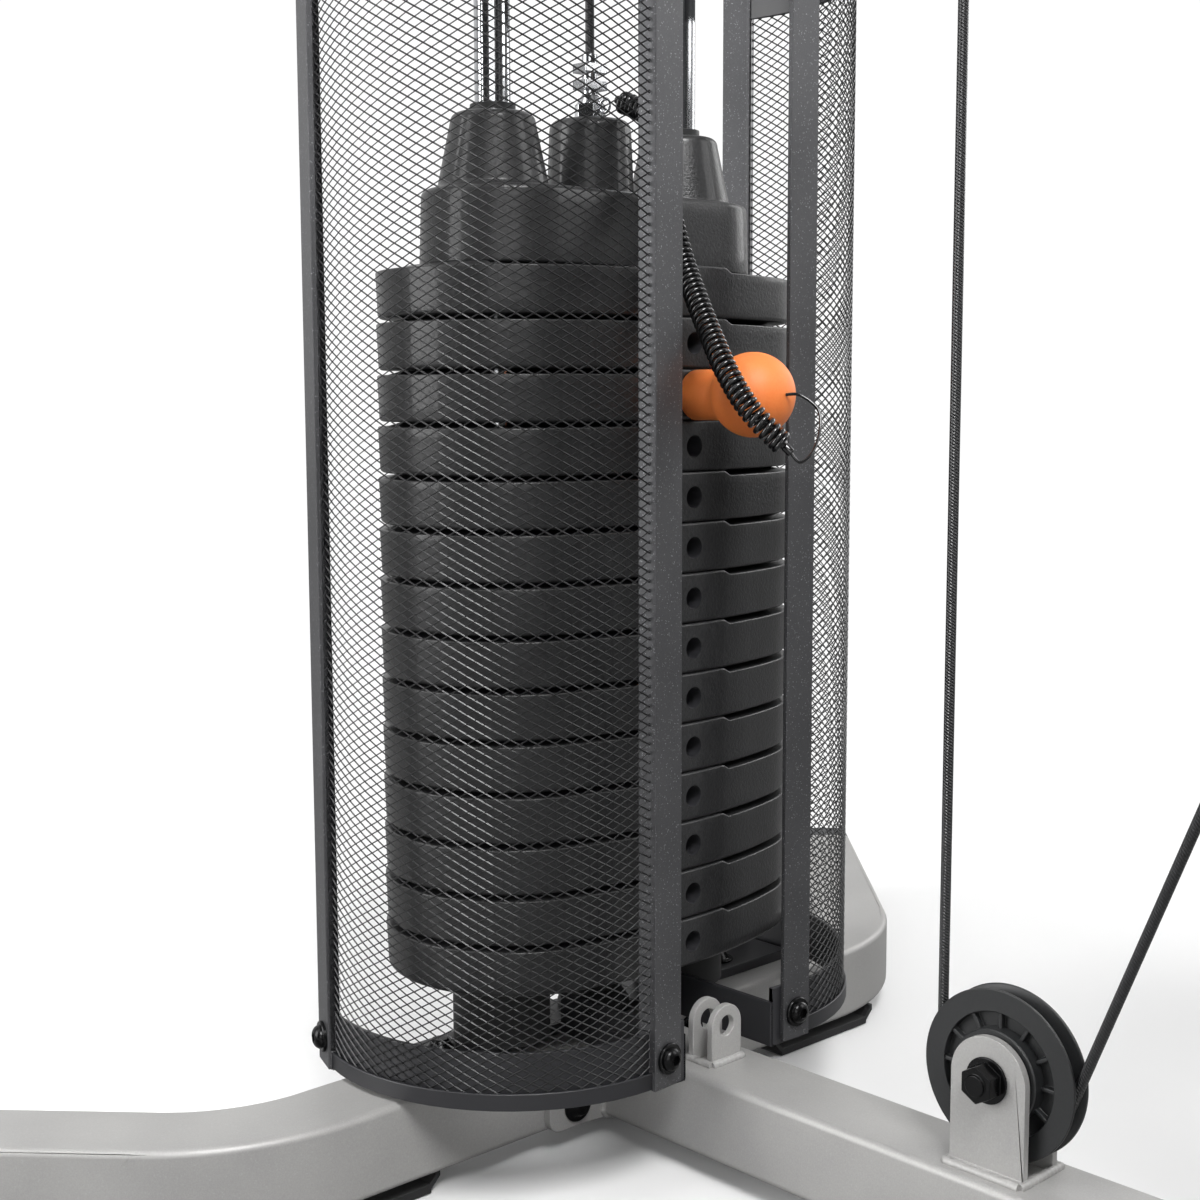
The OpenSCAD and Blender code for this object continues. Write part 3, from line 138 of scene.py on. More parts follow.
def mix(tree: Tree, share: Socket, low: Any, high: Any) -> Socket:
    """Mixes two colours, each a value or a socket; share is the share of the second."""
    return add_node(tree, "Mix", {"data_type": "RGBA", 0: share, 6: low, 7: high}).outputs[2]


def ramp(tree: Tree, value: Socket, first: float, last: float, low: float = 0.0,
         high: float = 1.0) -> Socket:
    """Maps a value from first..last to low..high, clamped."""
    return add_node(tree, "MapRange", {"From Min": first, "From Max": last, "To Min": low, "To Max": high,
                                       "Value": value}).outputs[0]


def calc(tree: Tree, operation: str, *values: Any) -> Socket:
    """Adds one step of arithmetic on numbers or sockets and returns its result."""
    return add_node(tree, "Math", {"operation": operation, **dict(enumerate(values))}).outputs[0]


def empty_tree(owner: bpy.types.Material | bpy.types.World) -> Tree:
    """Switches on the nodes of a material or world and clears them.

    Args:
        owner: The material or world.

    Returns:
        Its empty node tree.
    """
    owner.use_nodes = True
    owner.node_tree.nodes.clear()
    return owner.node_tree


@dataclass(frozen=True)
class Finish:
    """A material by name, and the slot of the record that it fills."""

    name: str
    slot: str

    def material(self) -> bpy.types.Material:
        """Builds the material, or finds it if it was built before.

        Returns:
            The material.
        """
        found = bpy.data.materials.get(self.name)
        if found:
            return found
        made = bpy.data.materials.new(self.name)
        tree = empty_tree(made)
        add_node(tree, "OutputMaterial", {"Surface": self.surface(tree).outputs[0]})
        return made

    def surface(self, tree: Tree) -> bpy.types.Node:
        """Adds the surface's nodes to the material's empty tree and returns the shader."""
        raise NotImplementedError


@dataclass(frozen=True)
class Coat(Finish):
    """A surface with a grain in its colour, its gloss and its relief.

    The grain is noise on Object coordinates. Two scales are mixed: a fine one, the coat's own
    texture, and a broad one, the cloudy change of tone that handling and casting leave. Flakes of
    metal lie in some cells of a Voronoi pattern, and convex edges can be rubbed to another colour.
    """

    colour: str
    accent: str
    metallic: float = 0.0
    roughness: float = 0.5
    rough_spread: float = 0.08
    grain_mm: float = 1.0
    grain_share: float = 0.5
    cloud_mm: float = 60.0
    relief_mm: float = 0.05
    relief_strength: float = 0.4
    flakes: float = 0.0
    flake_mm: float = 0.7
    coat: float = 0.0
    sheen: float = 0.0
    subsurface: float = 0.0
    worn: str = ""

    def surface(self, tree: Tree) -> bpy.types.Node:
        """Adds the surface's nodes.

        Args:
            tree: The material's empty node tree.

        Returns:
            The shader.
        """
        place = add_node(tree, "TexCoord").outputs["Object"]
        grain = add_node(tree, "TexNoise", {"Scale": 1 / (self.grain_mm * MM), "Detail": 3.0,
                                            "Roughness": 0.6, "Vector": place}).outputs["Fac"]
        cloud = add_node(tree, "TexNoise", {"Scale": 1 / (self.cloud_mm * MM), "Detail": 4.0,
                                            "Vector": place}).outputs["Fac"]
        both = add_node(tree, "Mix", {"data_type": "FLOAT", 0: self.grain_share, 2: cloud,
                                      3: grain}).outputs[0]
        colour = mix(tree, ramp(tree, both, 0.35, 0.65), linear(self.colour), linear(self.accent))
        if self.flakes > 0:
            cell = add_node(tree, "TexVoronoi", {"Scale": 1 / (self.flake_mm * MM), "Vector": place})
            channel = add_node(tree, "SeparateColor", {0: cell.outputs["Color"]}).outputs[0]
            colour = mix(tree, ramp(tree, channel, 0.955, 0.995, 0, self.flakes), colour, linear("#c9cbcf"))
        if self.worn:
            edge = add_node(tree, "NewGeometry").outputs["Pointiness"]
            colour = mix(tree, ramp(tree, edge, 0.515, 0.56, 0, 0.55), colour, linear(self.worn))
        rough = ramp(tree, both, 0.3, 0.7, self.roughness - self.rough_spread,
                     self.roughness + self.rough_spread)
        bump = add_node(tree, "Bump", {"Strength": self.relief_strength, "Distance": self.relief_mm * MM,
                                       "Height": grain}).outputs[0]
        return add_node(tree, "BsdfPrincipled", {
            "Metallic": self.metallic, "IOR": 1.5, "Coat Weight": self.coat, "Coat Roughness": 0.12,
            "Sheen Weight": self.sheen, "Sheen Roughness": 0.5, "Subsurface Weight": self.subsurface,
            "Subsurface Scale": 0.004, "Base Color": colour, "Roughness": rough, "Normal": bump})


@dataclass(frozen=True)
class CableCoat(Finish):
    """Nylon over twisted steel strands: the lay shows through the coat as fine slanted ribs."""

    lay_mm: float = 9.0
    strands: int = 6

    def surface(self, tree: Tree) -> bpy.types.Node:
        """Adds the nodes, on the UV map "lay": U runs round the cable, V is metres along it.

        Args:
            tree: The material's empty node tree.

        Returns:
            The shader.
        """
        lay = add_node(tree, "UVMap", {"uv_map": "lay"}).outputs[0]
        parts = add_node(tree, "SeparateXYZ", {0: lay}).outputs
        turns = calc(tree, "ADD", parts[0], calc(tree, "MULTIPLY", parts[1], 1 / (self.lay_mm * MM)))
        rib = calc(tree, "SINE", calc(tree, "MULTIPLY", turns, self.strands * 2 * math.pi))
        colour = mix(tree, ramp(tree, rib, -1.0, 1.0), linear("#0d0d0e"), linear("#2a2a2c"))
        bump = add_node(tree, "Bump", {"Strength": 0.6, "Distance": 0.0004, "Height": rib}).outputs[0]
        return add_node(tree, "BsdfPrincipled", {"Roughness": 0.32, "Coat Weight": 0.25,
                                                 "Coat Roughness": 0.2, "Base Color": colour,
                                                 "Normal": bump})


@dataclass(frozen=True)
class VinylCoat(Finish):
    """Embossed vinyl of the pads: pebbled cells of grain with fine creases between them."""

    cell_mm: float = 2.6

    def surface(self, tree: Tree) -> bpy.types.Node:
        """Adds the nodes, on Object coordinates.

        Args:
            tree: The material's empty node tree.

        Returns:
            The shader.
        """
        place = add_node(tree, "TexCoord").outputs["Object"]
        cell = add_node(tree, "TexVoronoi", {"feature": "DISTANCE_TO_EDGE", "Scale": 1 / (self.cell_mm * MM),
                                             "Vector": place}).outputs["Distance"]
        cloud = add_node(tree, "TexNoise", {"Scale": 14.0, "Detail": 5.0, "Vector": place}).outputs["Fac"]
        bump = add_node(tree, "Bump", {"Strength": 0.5, "Distance": 0.0003, "Height": cell}).outputs[0]
        return add_node(tree, "BsdfPrincipled", {
            "Sheen Weight": 0.1, "Coat Weight": 0.08, "Coat Roughness": 0.35,
            "Base Color": mix(tree, cloud, linear("#17171a"), linear("#242428")),
            "Roughness": ramp(tree, cloud, 0.0, 1.0, 0.42, 0.58), "Normal": bump})


# Powder coat, sprayed and baked: metallic silver with a very fine orange-peel relief.
SILVER = Coat("silver_powder_coat", "frame_silver", "#9b9a99", "#abaaa8", metallic=0.3, roughness=0.5,
              grain_mm=0.8, flakes=0.12)
# Powder coat with a fine leather-like grain, dark grey with a few light flakes.
SHROUD = Coat("textured_grey_powder_coat", "shroud_grey", "#4a4a4c", "#59595b", metallic=0.6, roughness=0.42,
              grain_mm=0.7, relief_mm=0.06, relief_strength=0.6, flakes=0.35, flake_mm=0.5)
# Thin powder coat on the expanded metal: even and satin, because the strands are narrow.
MESH = Coat("expanded_metal_coat", "shroud_grey", "#1c1c1d", "#262627", metallic=0.3, roughness=0.36,
            grain_mm=1.2, relief_mm=0.03, relief_strength=0.2)
# Cast iron under a thick enamel with a pebbled skin.
IRON = Coat("pebbled_enamel_on_cast_iron", "plate_iron", "#1b1b1c", "#2b2b2c", metallic=0.15, roughness=0.42,
            grain_mm=1.7, grain_share=0.7, relief_mm=0.3, relief_strength=1.0, coat=0.3)
# Black oxide of the screws and axle bolts, oiled and glossy.
OXIDE = Coat("black_oxide_steel", "black_coat", "#0e0e0f", "#171718", metallic=0.6, roughness=0.24,
             grain_mm=0.8, relief_mm=0.01, relief_strength=0.15)
# Satin black powder coat of the brackets, bars and bands.
BLACK = Coat("satin_black_powder_coat", "black_coat", "#141416", "#1d1d20", metallic=0.1, roughness=0.4,
             grain_mm=0.7, relief_mm=0.04, relief_strength=0.3, worn="#3a3a3d")
# Hard chrome plating: a clear mirror with faint rubbing marks.
CHROME = Coat("polished_chrome", "chrome", "#c9cbce", "#d9dadc", metallic=1.0, roughness=0.1,
              rough_spread=0.03, grain_mm=2.0, relief_mm=0.005, relief_strength=0.1)
# Bright zinc-plated steel.
ZINC = Coat("zinc_plated_steel", "zinc_steel", "#a9abad", "#bdbfc0", metallic=1.0, roughness=0.3,
            relief_mm=0.01, relief_strength=0.2)
# Moulded rubber with a dry, slightly dusty skin.
RUBBER = Coat("moulded_rubber", "black_rubber", "#161617", "#212122", roughness=0.72, grain_mm=0.9,
              relief_mm=0.06, sheen=0.05)
# Closed-cell foam sleeve: fine pores give it a soft, dull skin.
FOAM = Coat("closed_cell_foam", "black_rubber", "#1c1c1e", "#262628", roughness=0.85, grain_mm=1.8,
            relief_mm=0.35, relief_strength=0.7, sheen=0.15)
# Glass-filled nylon of the pulleys, moulded with a satin skin.
NYLON = Coat("glass_filled_nylon", "black_plastic", "#1a1b1c", "#252627", roughness=0.45, grain_mm=1.1,
             relief_mm=0.03, relief_strength=0.3)
# Moulded polyethylene of the tube caps.
CAP = Coat("moulded_polyethylene", "black_plastic", "#2b2c2e", "#353638", roughness=0.55, grain_mm=0.8,
           relief_strength=0.35)
# Natural acetal of the bushes.
ACETAL = Coat("natural_acetal", "white_plastic", "#dedacf", "#e9e6dd", roughness=0.4, relief_mm=0.01,
              relief_strength=0.1, subsurface=0.1)
# Orange ABS of the knob: a smooth, slightly waxy moulding.
ORANGE = Coat("orange_abs", "knob_orange", "#e57a38", "#ea8443", roughness=0.55, rough_spread=0.05,
              grain_mm=1.4, relief_mm=0.02, relief_strength=0.25, subsurface=0.08)
# Polyurethane of the coiled cord: glossy and black.
CORD = Coat("polyurethane_cord", "coil_black", "#0b0b0c", "#131314", roughness=0.16, rough_spread=0.04,
            grain_mm=1.2, relief_mm=0.01, relief_strength=0.1, coat=0.4)
CABLE = CableCoat("nylon_coated_cable", "cable_black")
VINYL = VinylCoat("embossed_vinyl", "pad_vinyl")


def unit(v: Points) -> Points:
    """Returns the vectors in the last axis of v at length one."""
    return v / np.maximum(np.linalg.norm(v, axis=-1, keepdims=True), 1e-12)


def around(count: int) -> Points:
    """Returns evenly spaced angles round a circle, in radians."""
    return np.linspace(0, 2 * np.pi, count, endpoint=False)


def run_along(path: Points) -> Points:
    """Returns how far along a path each of its points lies."""
    return np.concatenate([[0], np.cumsum(np.linalg.norm(np.diff(path, axis=0), axis=1))])


def put(thing: Piece) -> Piece:
    """Puts an object into the scene and returns it."""
    bpy.context.scene.collection.objects.link(thing)
    return thing


def new_piece(name: str, points: Points, faces: list | Points, finish: Finish,
              smooth: float | None = None) -> Piece:
    """Makes an object from points.

    Args:
        name: The piece's name.
        points: Points of the mesh, one row each.
        faces: Faces as rows of point numbers.
        finish: What it is finished with.
        smooth: Edges below this angle in degrees are shaded smooth, or None for flat faces.

    Returns:
        The object.
    """
    mesh = bpy.data.meshes.new(name)
    rows = faces.tolist() if isinstance(faces, np.ndarray) else faces
    mesh.from_pydata((np.asarray(points, float).reshape(-1, 3) * MM).tolist(), [], rows)
    mesh.update()
    made = put(bpy.data.objects.new(name, mesh))
    dress(made, finish)
    if smooth is not None:
        shade(made, smooth)
    return made


def shade(piece: Piece, angle: float) -> None:
    """Shades a mesh smooth, with its edges over the angle sharp."""
    piece.data.shade_smooth()
    piece.data.set_sharp_from_angle(angle=math.radians(angle))


def dress(piece: Piece, finish: Finish) -> None:
    """Gives a piece one finish.

    Args:
        piece: The object.
        finish: The finish.
    """
    piece.data.materials.clear()
    piece.data.materials.append(finish.material())


def read_points(mesh: bpy.types.Mesh) -> Points:
    """Returns the points of a mesh, one row each."""
    places = np.empty(len(mesh.vertices) * 3)
    mesh.vertices.foreach_get("co", places)
    return places.reshape(-1, 3) / MM


def write_points(mesh: bpy.types.Mesh, places: Points) -> None:
    """Moves the points of a mesh."""
    mesh.vertices.foreach_set("co", (places * MM).ravel())
    mesh.update()


@contextmanager
def editing(mesh: bpy.types.Mesh) -> Iterator[bmesh.types.BMesh]:
    """Opens a mesh for editing and writes it back.

    Args:
        mesh: The mesh.

    Yields:
        Its editable form.
    """
    work = bmesh.new()
    work.from_mesh(mesh)
    yield work
    work.to_mesh(mesh)
    work.free()


def bake(piece: Piece) -> None:
    """Applies a piece's modifiers to its mesh.

    Args:
        piece: The object, which keeps its name and finish.
    """
    done = bpy.data.meshes.new_from_object(piece.evaluated_get(bpy.context.evaluated_depsgraph_get()))
    piece.modifiers.clear()
    piece.vertex_groups.clear()
    old, piece.data = piece.data, done
    bpy.data.meshes.remove(old)


def cut(piece: Piece, *cutters: Piece) -> None:
    """Takes shapes away from a piece and removes them from the scene.

    Args:
        piece: The piece, which keeps its name and finish.
        cutters: Closed shapes.
    """
    for cutter in cutters:
        change = piece.modifiers.new("cut", "BOOLEAN")
        change.operation, change.solver, change.object = "DIFFERENCE", "EXACT", cutter
        bake(piece)
        bpy.data.objects.remove(cutter)


def merge(piece: Piece) -> None:
    """Joins doubled points, closes open ends and turns the faces outwards.

    Args:
        piece: The object.
    """
    with editing(piece.data) as work:
        bmesh.ops.remove_doubles(work, verts=work.verts, dist=1e-6)
        bmesh.ops.dissolve_degenerate(work, edges=work.edges, dist=1e-7)
        open_edges = [e for e in work.edges if len(e.link_faces) == 1]
        if open_edges:
            bmesh.ops.holes_fill(work, edges=open_edges, sides=0)
        bmesh.ops.recalc_face_normals(work, faces=work.faces)


def join(name: str, pieces: list[Piece]) -> Piece:
    """Joins pieces into one object.

    Args:
        name: The joined object's name.
        pieces: The objects, the first of which is kept.

    Returns:
        The joined object.
    """
    with bpy.context.temp_override(active_object=pieces[0], selected_editable_objects=pieces):
        bpy.ops.object.join()
    pieces[0].name = name
    return pieces[0]


def grid_faces(rows: int, columns: int) -> Points:
    """Faces of a grid of points, with rings along the piece and each ring closed.

    Args:
        rows: Number of rings.
        columns: Number of points in a ring.

    Returns:
        Faces of four points.
    """
    i, j = np.arange(rows - 1)[:, None] * columns, np.arange(columns)[None, :]
    k = (j + 1) % columns
    return np.stack([i + j, i + k, i + columns + k, i + columns + j], -1).reshape(-1, 4)


def tube_faces(rows: int, columns: int) -> list[list[int]]:
    """Returns the faces of a grid of closed rings, with a face on its first and its last ring."""
    last = (rows - 1) * columns
    ends = [list(range(columns))[::-1], list(range(last, last + columns))]
    return grid_faces(rows, columns).tolist() + ends


def sweep(name: str, path: Points, radius: float | Points, finish: Finish, sides: int = 16,
          smooth: float = 50.0) -> Piece:
    """A round tube along a path: point (k, a) is path k plus radius times the ring's direction at angle a.

    Each ring's frame is turned as little as can be from the one before.

    Args:
        name: The piece's name.
        path: Points of the middle line.
        radius: Radius of the tube, one number or one for each point.
        finish: The finish.
        sides: Points in each ring.
        smooth: Angle for smooth shading.

    Returns:
        The object, with a UV map "lay": U round the tube, V metres along it.
    """
    tangent = unit(np.gradient(path, axis=0))
    n = np.zeros_like(path)
    n[0] = unit(np.cross(tangent[0], [1.0, 0, 0] if abs(tangent[0][0]) < 0.9 else [0, 1.0, 0]))
    for k in range(1, len(path)):
        n[k] = unit(n[k - 1] - tangent[k] * (n[k - 1] @ tangent[k]))
    m = np.cross(tangent, n)
    angle = around(sides)[None, :, None]
    r = np.broadcast_to(np.asarray(radius, float), (len(path),))[:, None, None]
    rings = path[:, None] + r * (np.cos(angle) * n[:, None] + np.sin(angle) * m[:, None])
    piece = new_piece(name, rings.reshape(-1, 3), tube_faces(len(path), sides), finish, smooth)
    run = run_along(path) * MM
    loops = np.zeros(len(piece.data.loops), np.int32)
    piece.data.loops.foreach_get("vertex_index", loops)
    u, v = (loops % sides) / sides, run[loops // sides]
    counts = np.array([len(p.vertices) for p in piece.data.polygons])
    first = np.repeat(np.cumsum(counts) - counts, counts)
    u = np.where((u == 0) & (u[np.minimum(first + 1, len(u) - 1)] > 0.5), 1.0, u)
    flat = np.stack([u, v], -1).astype(np.float32).ravel()
    piece.data.uv_layers.new(name="lay").data.foreach_set("uv", flat)
    return piece


def revolve(name: str, profile: Sequence | Points, origin: Points | tuple, axis: Points | tuple,
            finish: Finish, sides: int = 64, smooth: float = 35.0) -> Piece:
    """A turned piece: point (k, a) is origin plus height k along the axis and radius k at angle a.

    Args:
        name: The piece's name.
        profile: Rows of radius and height, from the bottom's middle round to the top's middle.
        origin: Where height 0 is.
        axis: Direction of the axis.
        finish: The finish.
        sides: Points in each ring.
        smooth: Angle for smooth shading.

    Returns:
        The object.
    """
    profile, axis = np.asarray(profile, float), unit(np.asarray(axis, float))
    u = unit(np.cross(axis, [1.0, 0, 0] if abs(axis[0]) < 0.9 else [0, 1.0, 0]))
    angle = around(sides)[:, None]
    ring = np.cos(angle) * u + np.sin(angle) * np.cross(axis, u)
    points = np.asarray(origin, float) + profile[:, None, :1] * ring[None] + profile[:, None, 1:] * axis
    piece = new_piece(name, points.reshape(-1, 3), grid_faces(len(profile), sides), finish)
    merge(piece)
    shade(piece, smooth)
    return piece


def soften(node: str, finish: Finish, body: Body, width_mm: float) -> Piece:
    """A copy of a CAD node with its points merged, its flat faces whole and its edges rounded.

    Args:
        node: The node that the copy stands for.
        finish: The finish.
        body: The body that it rides on.
        width_mm: Width of the rounding.

    Returns:
        The piece.
    """
    mesh = bpy.data.objects[node].data.copy()
    piece = put(bpy.data.objects.new(node + "_soft", mesh))
    for attribute in [a.name for a in mesh.attributes if a.name == "custom_normal"]:
        mesh.attributes.remove(mesh.attributes[attribute])
    with editing(mesh) as work:
        bmesh.ops.remove_doubles(work, verts=work.verts, dist=2e-6)
        bmesh.ops.dissolve_limit(work, angle_limit=math.radians(1.0), verts=work.verts, edges=work.edges)
    dress(piece, finish)
    bevel = piece.modifiers.new("edges", "BEVEL")
    bevel.width, bevel.segments = width_mm * MM, 2
    bevel.limit_method, bevel.angle_limit = "ANGLE", math.radians(40)
    bevel.use_clamp_overlap, bevel.harden_normals = False, True
    shade(piece, 30)
    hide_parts(node)
    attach(piece, body.value)
    return piece


def repaint(piece: Piece, finish: Finish, chosen: Callable[[Points, Points], bool]) -> None:
    """Gives some of a piece's separate islands another finish.

    Args:
        piece: The piece.
        finish: Their finish.
        chosen: Tells from an island's lowest and highest corner whether it changes.
    """
    piece.data.materials.append(finish.material())
    with editing(piece.data) as work:
        seen: set[int] = set()
        for start in work.faces:
            if start.index in seen:
                continue
            island, queue = [], [start]
            seen.add(start.index)
            while queue:
                face = queue.pop()
                island.append(face)
                for other in (other for edge in face.edges for other in edge.link_faces):
                    if other.index not in seen:
                        seen.add(other.index)
                        queue.append(other)
            places = np.array([v.co for f in island for v in f.verts]) / MM
            if chosen(places.min(0), places.max(0)):
                for face in island:
                    face.material_index = len(piece.data.materials) - 1


def swell(piece: Piece, held: Callable[[Points], Points], voxel_mm: float, pressure: float,
          most_mm: float) -> None:
    """Fills a cushion as foam fills its cover: cloth under pressure, held where it is sewn or screwed down.

    Args:
        piece: The cushion, closed.
        held: Tells for points which of them stay where they are.
        voxel_mm: Size of the cover's even faces.
        pressure: Pressure inside the cover.
        most_mm: How far a point may move at most.
    """
    remesh = piece.modifiers.new("even_faces", "REMESH")
    remesh.mode, remesh.voxel_size = "VOXEL", voxel_mm * MM
    bake(piece)
    start = read_points(piece.data)
    group = piece.vertex_groups.new(name="held")
    group.add(np.flatnonzero(held(start)).tolist(), 1.0, "REPLACE")
    cloth = piece.modifiers.new("cover", "CLOTH")
    cover = cloth.settings
    cover.quality, cover.mass, cover.vertex_group_mass = 6, 0.3, group.name
    cover.tension_stiffness = cover.compression_stiffness = 15.0
    cover.bending_stiffness = 0.5
    cover.use_pressure, cover.uniform_pressure_force = True, pressure
    cover.effector_weights.gravity = 0.0
    cloth.collision_settings.use_collision = False
    for frame in range(1, 21):
        bpy.context.scene.frame_set(frame)
    bake(piece)
    bpy.context.scene.frame_set(1)
    way = read_points(piece.data) - start
    far = np.linalg.norm(way, axis=1, keepdims=True)
    LOG.info("%s swells by up to %.1f mm", piece.name, far.max())
    write_points(piece.data, start + way * np.minimum(1, most_mm / np.maximum(far, 1e-6)))
    finer = piece.modifiers.new("finer", "SUBSURF")
    finer.levels = finer.render_levels = 1
    bake(piece)
    shade(piece, 60)


def smooth_route(points: Points | Sequence, count: int) -> Points:
    """Catmull-Rom curve through points, at equal steps of its parameter.

    Args:
        points: The points that the curve passes through.
        count: Number of points to return.

    Returns:
        Points of the curve.
    """
    p = np.asarray(points, float)
    n = len(p) - 1
    f = np.clip(np.linspace(0, 1, count), 0, 0.99999) * n
    k = np.floor(f).astype(int)
    t = (f - k)[:, None]
    a, b, c, d = p[np.maximum(k - 1, 0)], p[k], p[k + 1], p[np.minimum(k + 2, n)]
    curve = 2 * b + (c - a) * t + (2 * a - 5 * b + 4 * c - d) * t ** 2
    return 0.5 * (curve + (3 * b - a - 3 * c + d) * t ** 3)


def arc(centre: tuple[float, float], radius: float, first: float, last: float, count: int) -> Points:
    """Points of an arc in the plane X = 0 about Y and Z of its centre, angles in radians from +Y to +Z."""
    a = np.linspace(first, last, count)
    return np.stack([np.zeros(count), centre[0] + radius * np.cos(a), centre[1] + radius * np.sin(a)], -1)


def even(path: Sequence | Points, step: float) -> Points:
    """Resamples a path at nearly even steps, keeping its ends.

    Args:
        path: Points of the path.
        step: The step.

    Returns:
        The resampled path.
    """
    path = np.asarray(path, float)
    run = run_along(path)
    wanted = np.linspace(0, run[-1], max(3, int(run[-1] / step) + 1))
    return np.stack([np.interp(wanted, run, path[:, k]) for k in range(3)], -1)


@dataclass(frozen=True)
class Measures:
    """Sizes of the object that the pieces here share; a place is a pair of Y and Z."""

    pitch_r: float = 35.2
    cable_r: float = 2.5
    axle_y: tuple[float, ...] = (-35.2, -176.0, -316.8, -1005.0)
    axle_z: float = 1905.0
    fitting_z: float = 600.8
    low: tuple[float, float] = (-281.6, 102.1)
    pivot: tuple[float, float] = (-612.7, 300.0)
    cam_r: float = 200.0
    float_place: tuple[float, float] = (-246.4, 1500.0)
    clamp_z: float = 1425.0
    lat: tuple[float, float] = (-1040.2, 1720.0)
    base_z: tuple[float, float] = (12.0, 57.0)
    knob_y: float = -121.8
    ball_r: float = 21.75
    pin_z: float = 415.3
    knee: tuple[float, float] = (-1211.0, 457.0)
    ankle: tuple[float, float] = (-1196.0, 150.0)
    shroud_x: float = -57.0

    @property
    def cable_angle(self) -> float:
        """Angle on the cam where the press cable leaves it, from +Y turning to +Z, in radians."""
        gap = (self.pivot[0] - self.low[0], self.pivot[1] - self.low[1])
        lean = math.atan2(gap[1], -gap[0]) + math.asin((self.cam_r + self.pitch_r) / math.hypot(*gap))
        return math.pi / 2 - lean


SIZE = Measures()


@dataclass
class Builder:
    """Base of everything that makes pieces: it keeps what it made."""

    made: list[Piece] = field(default_factory=list)

    def keep(self, piece: Piece, body: Body, *nodes: str) -> Piece:
        """Puts a finished piece on its body.

        Args:
            piece: The piece.
            body: The body that it rides on.
            nodes: CAD nodes that it stands for.

        Returns:
            The piece.
        """
        if nodes:
            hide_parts(*nodes)
        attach(piece, body.value)
        self.made.append(piece)
        return piece

    def build(self) -> None:
        """Makes the pieces."""
        raise NotImplementedError


# For each body, its nodes with their finish and the width of their rounded edges.
SOFTENED: dict[Body, dict[str, tuple[Finish, float]]] = {
    Body.ROOT: {
        "stabiliser": (SILVER, 0.5), "main_rail": (SILVER, 0.8), "front_foot": (SILVER, 0.5),
        "end_caps": (CAP, 1.6), "frame_bolts": (OXIDE, 0.5), "base_bar": (BLACK, 0.7),
        "buffers": (RUBBER, 0.8), "guide_rods": (CHROME, 0.6), "rod_top_plate": (BLACK, 0.7),
        "mast": (SILVER, 0.6),
        "mast_link_plates": (SILVER, 0.8), "top_boom": (SILVER, 0.5), "shroud_brackets": (BLACK, 0.5),
        "shroud_top_carrier": (BLACK, 0.5), "boom_pulley_ears": (SILVER, 0.6),
        "low_pulley_clevis": (SILVER, 0.3), "anchor_clevis": (SILVER, 0.6), "pulley_axles": (OXIDE, 0.5),
        "pivot_stand": (SILVER, 0.7), "pivot_bushes": (ACETAL, 0.5), "leg_pivot_bracket": (SILVER, 0.7)},
    Body.STACK: {"head_bushes": (NYLON, 0.4), "selector_rod": (ZINC, 0.4), "cable_fitting": (CHROME, 0.4)},
    Body.PIN: {"selector_pin": (ZINC, 1.2)},
    Body.PRESS: {"press_grips": (RUBBER, 1.6)},
    Body.LEG: {"leg_lever": (SILVER, 0.7)},
    Body.LAT: {"lat_bar": (CHROME, 0.8), "lat_grips": (RUBBER, 1.6)},
}
WHEELS: dict[str, Body] = {
    "rear_top_pulley": Body.REAR_WHEEL, "middle_top_pulley": Body.MIDDLE_WHEEL,
    "drop_top_pulley": Body.DROP_WHEEL, "front_top_pulley": Body.FRONT_WHEEL,
    "low_pulley": Body.LOW_WHEEL, "float_pulley": Body.FLOAT_WHEEL}


@dataclass
class Metalwork(Builder):
    """Every rigid node whose own shape is right: its edges are rounded and it gets its finish."""

    def build(self) -> None:
        """Makes the pieces."""
        for body, nodes in SOFTENED.items():
            self.made += [soften(node, finish, body, width) for node, (finish, width) in nodes.items()]
        self.made += [soften(node, NYLON, body, 0.5) for node, body in WHEELS.items()]
        feet = soften("floor_feet", SILVER, Body.ROOT, 0.6)
        seat = soften("seat_frame", SILVER, Body.ROOT, 0.6)
        block = soften("float_block", SILVER, Body.FLOAT, 0.6)
        arm = soften("press_arm", SILVER, Body.PRESS, 0.7)
        # What stands on the floor is rubber, and the plate under the seat pad is black
        repaint(feet, RUBBER, lambda low, high: low[2] < 0.5)
        repaint(seat, BLACK, lambda low, high: low[2] > 440)
        # The hanger's bolt is wide in X and low, and the arcs of cable are thin in X
        repaint(block, BLACK, lambda low, high: high[0] - low[0] > 28 and high[2] - low[2] < 30)
        repaint(block, NYLON, lambda low, high: high[0] - low[0] < 6 and high[1] - low[1] > 60)
        repaint(arm, NYLON, lambda low, high: high[0] - low[0] < 6)
        self.made += [feet, seat, block, arm]


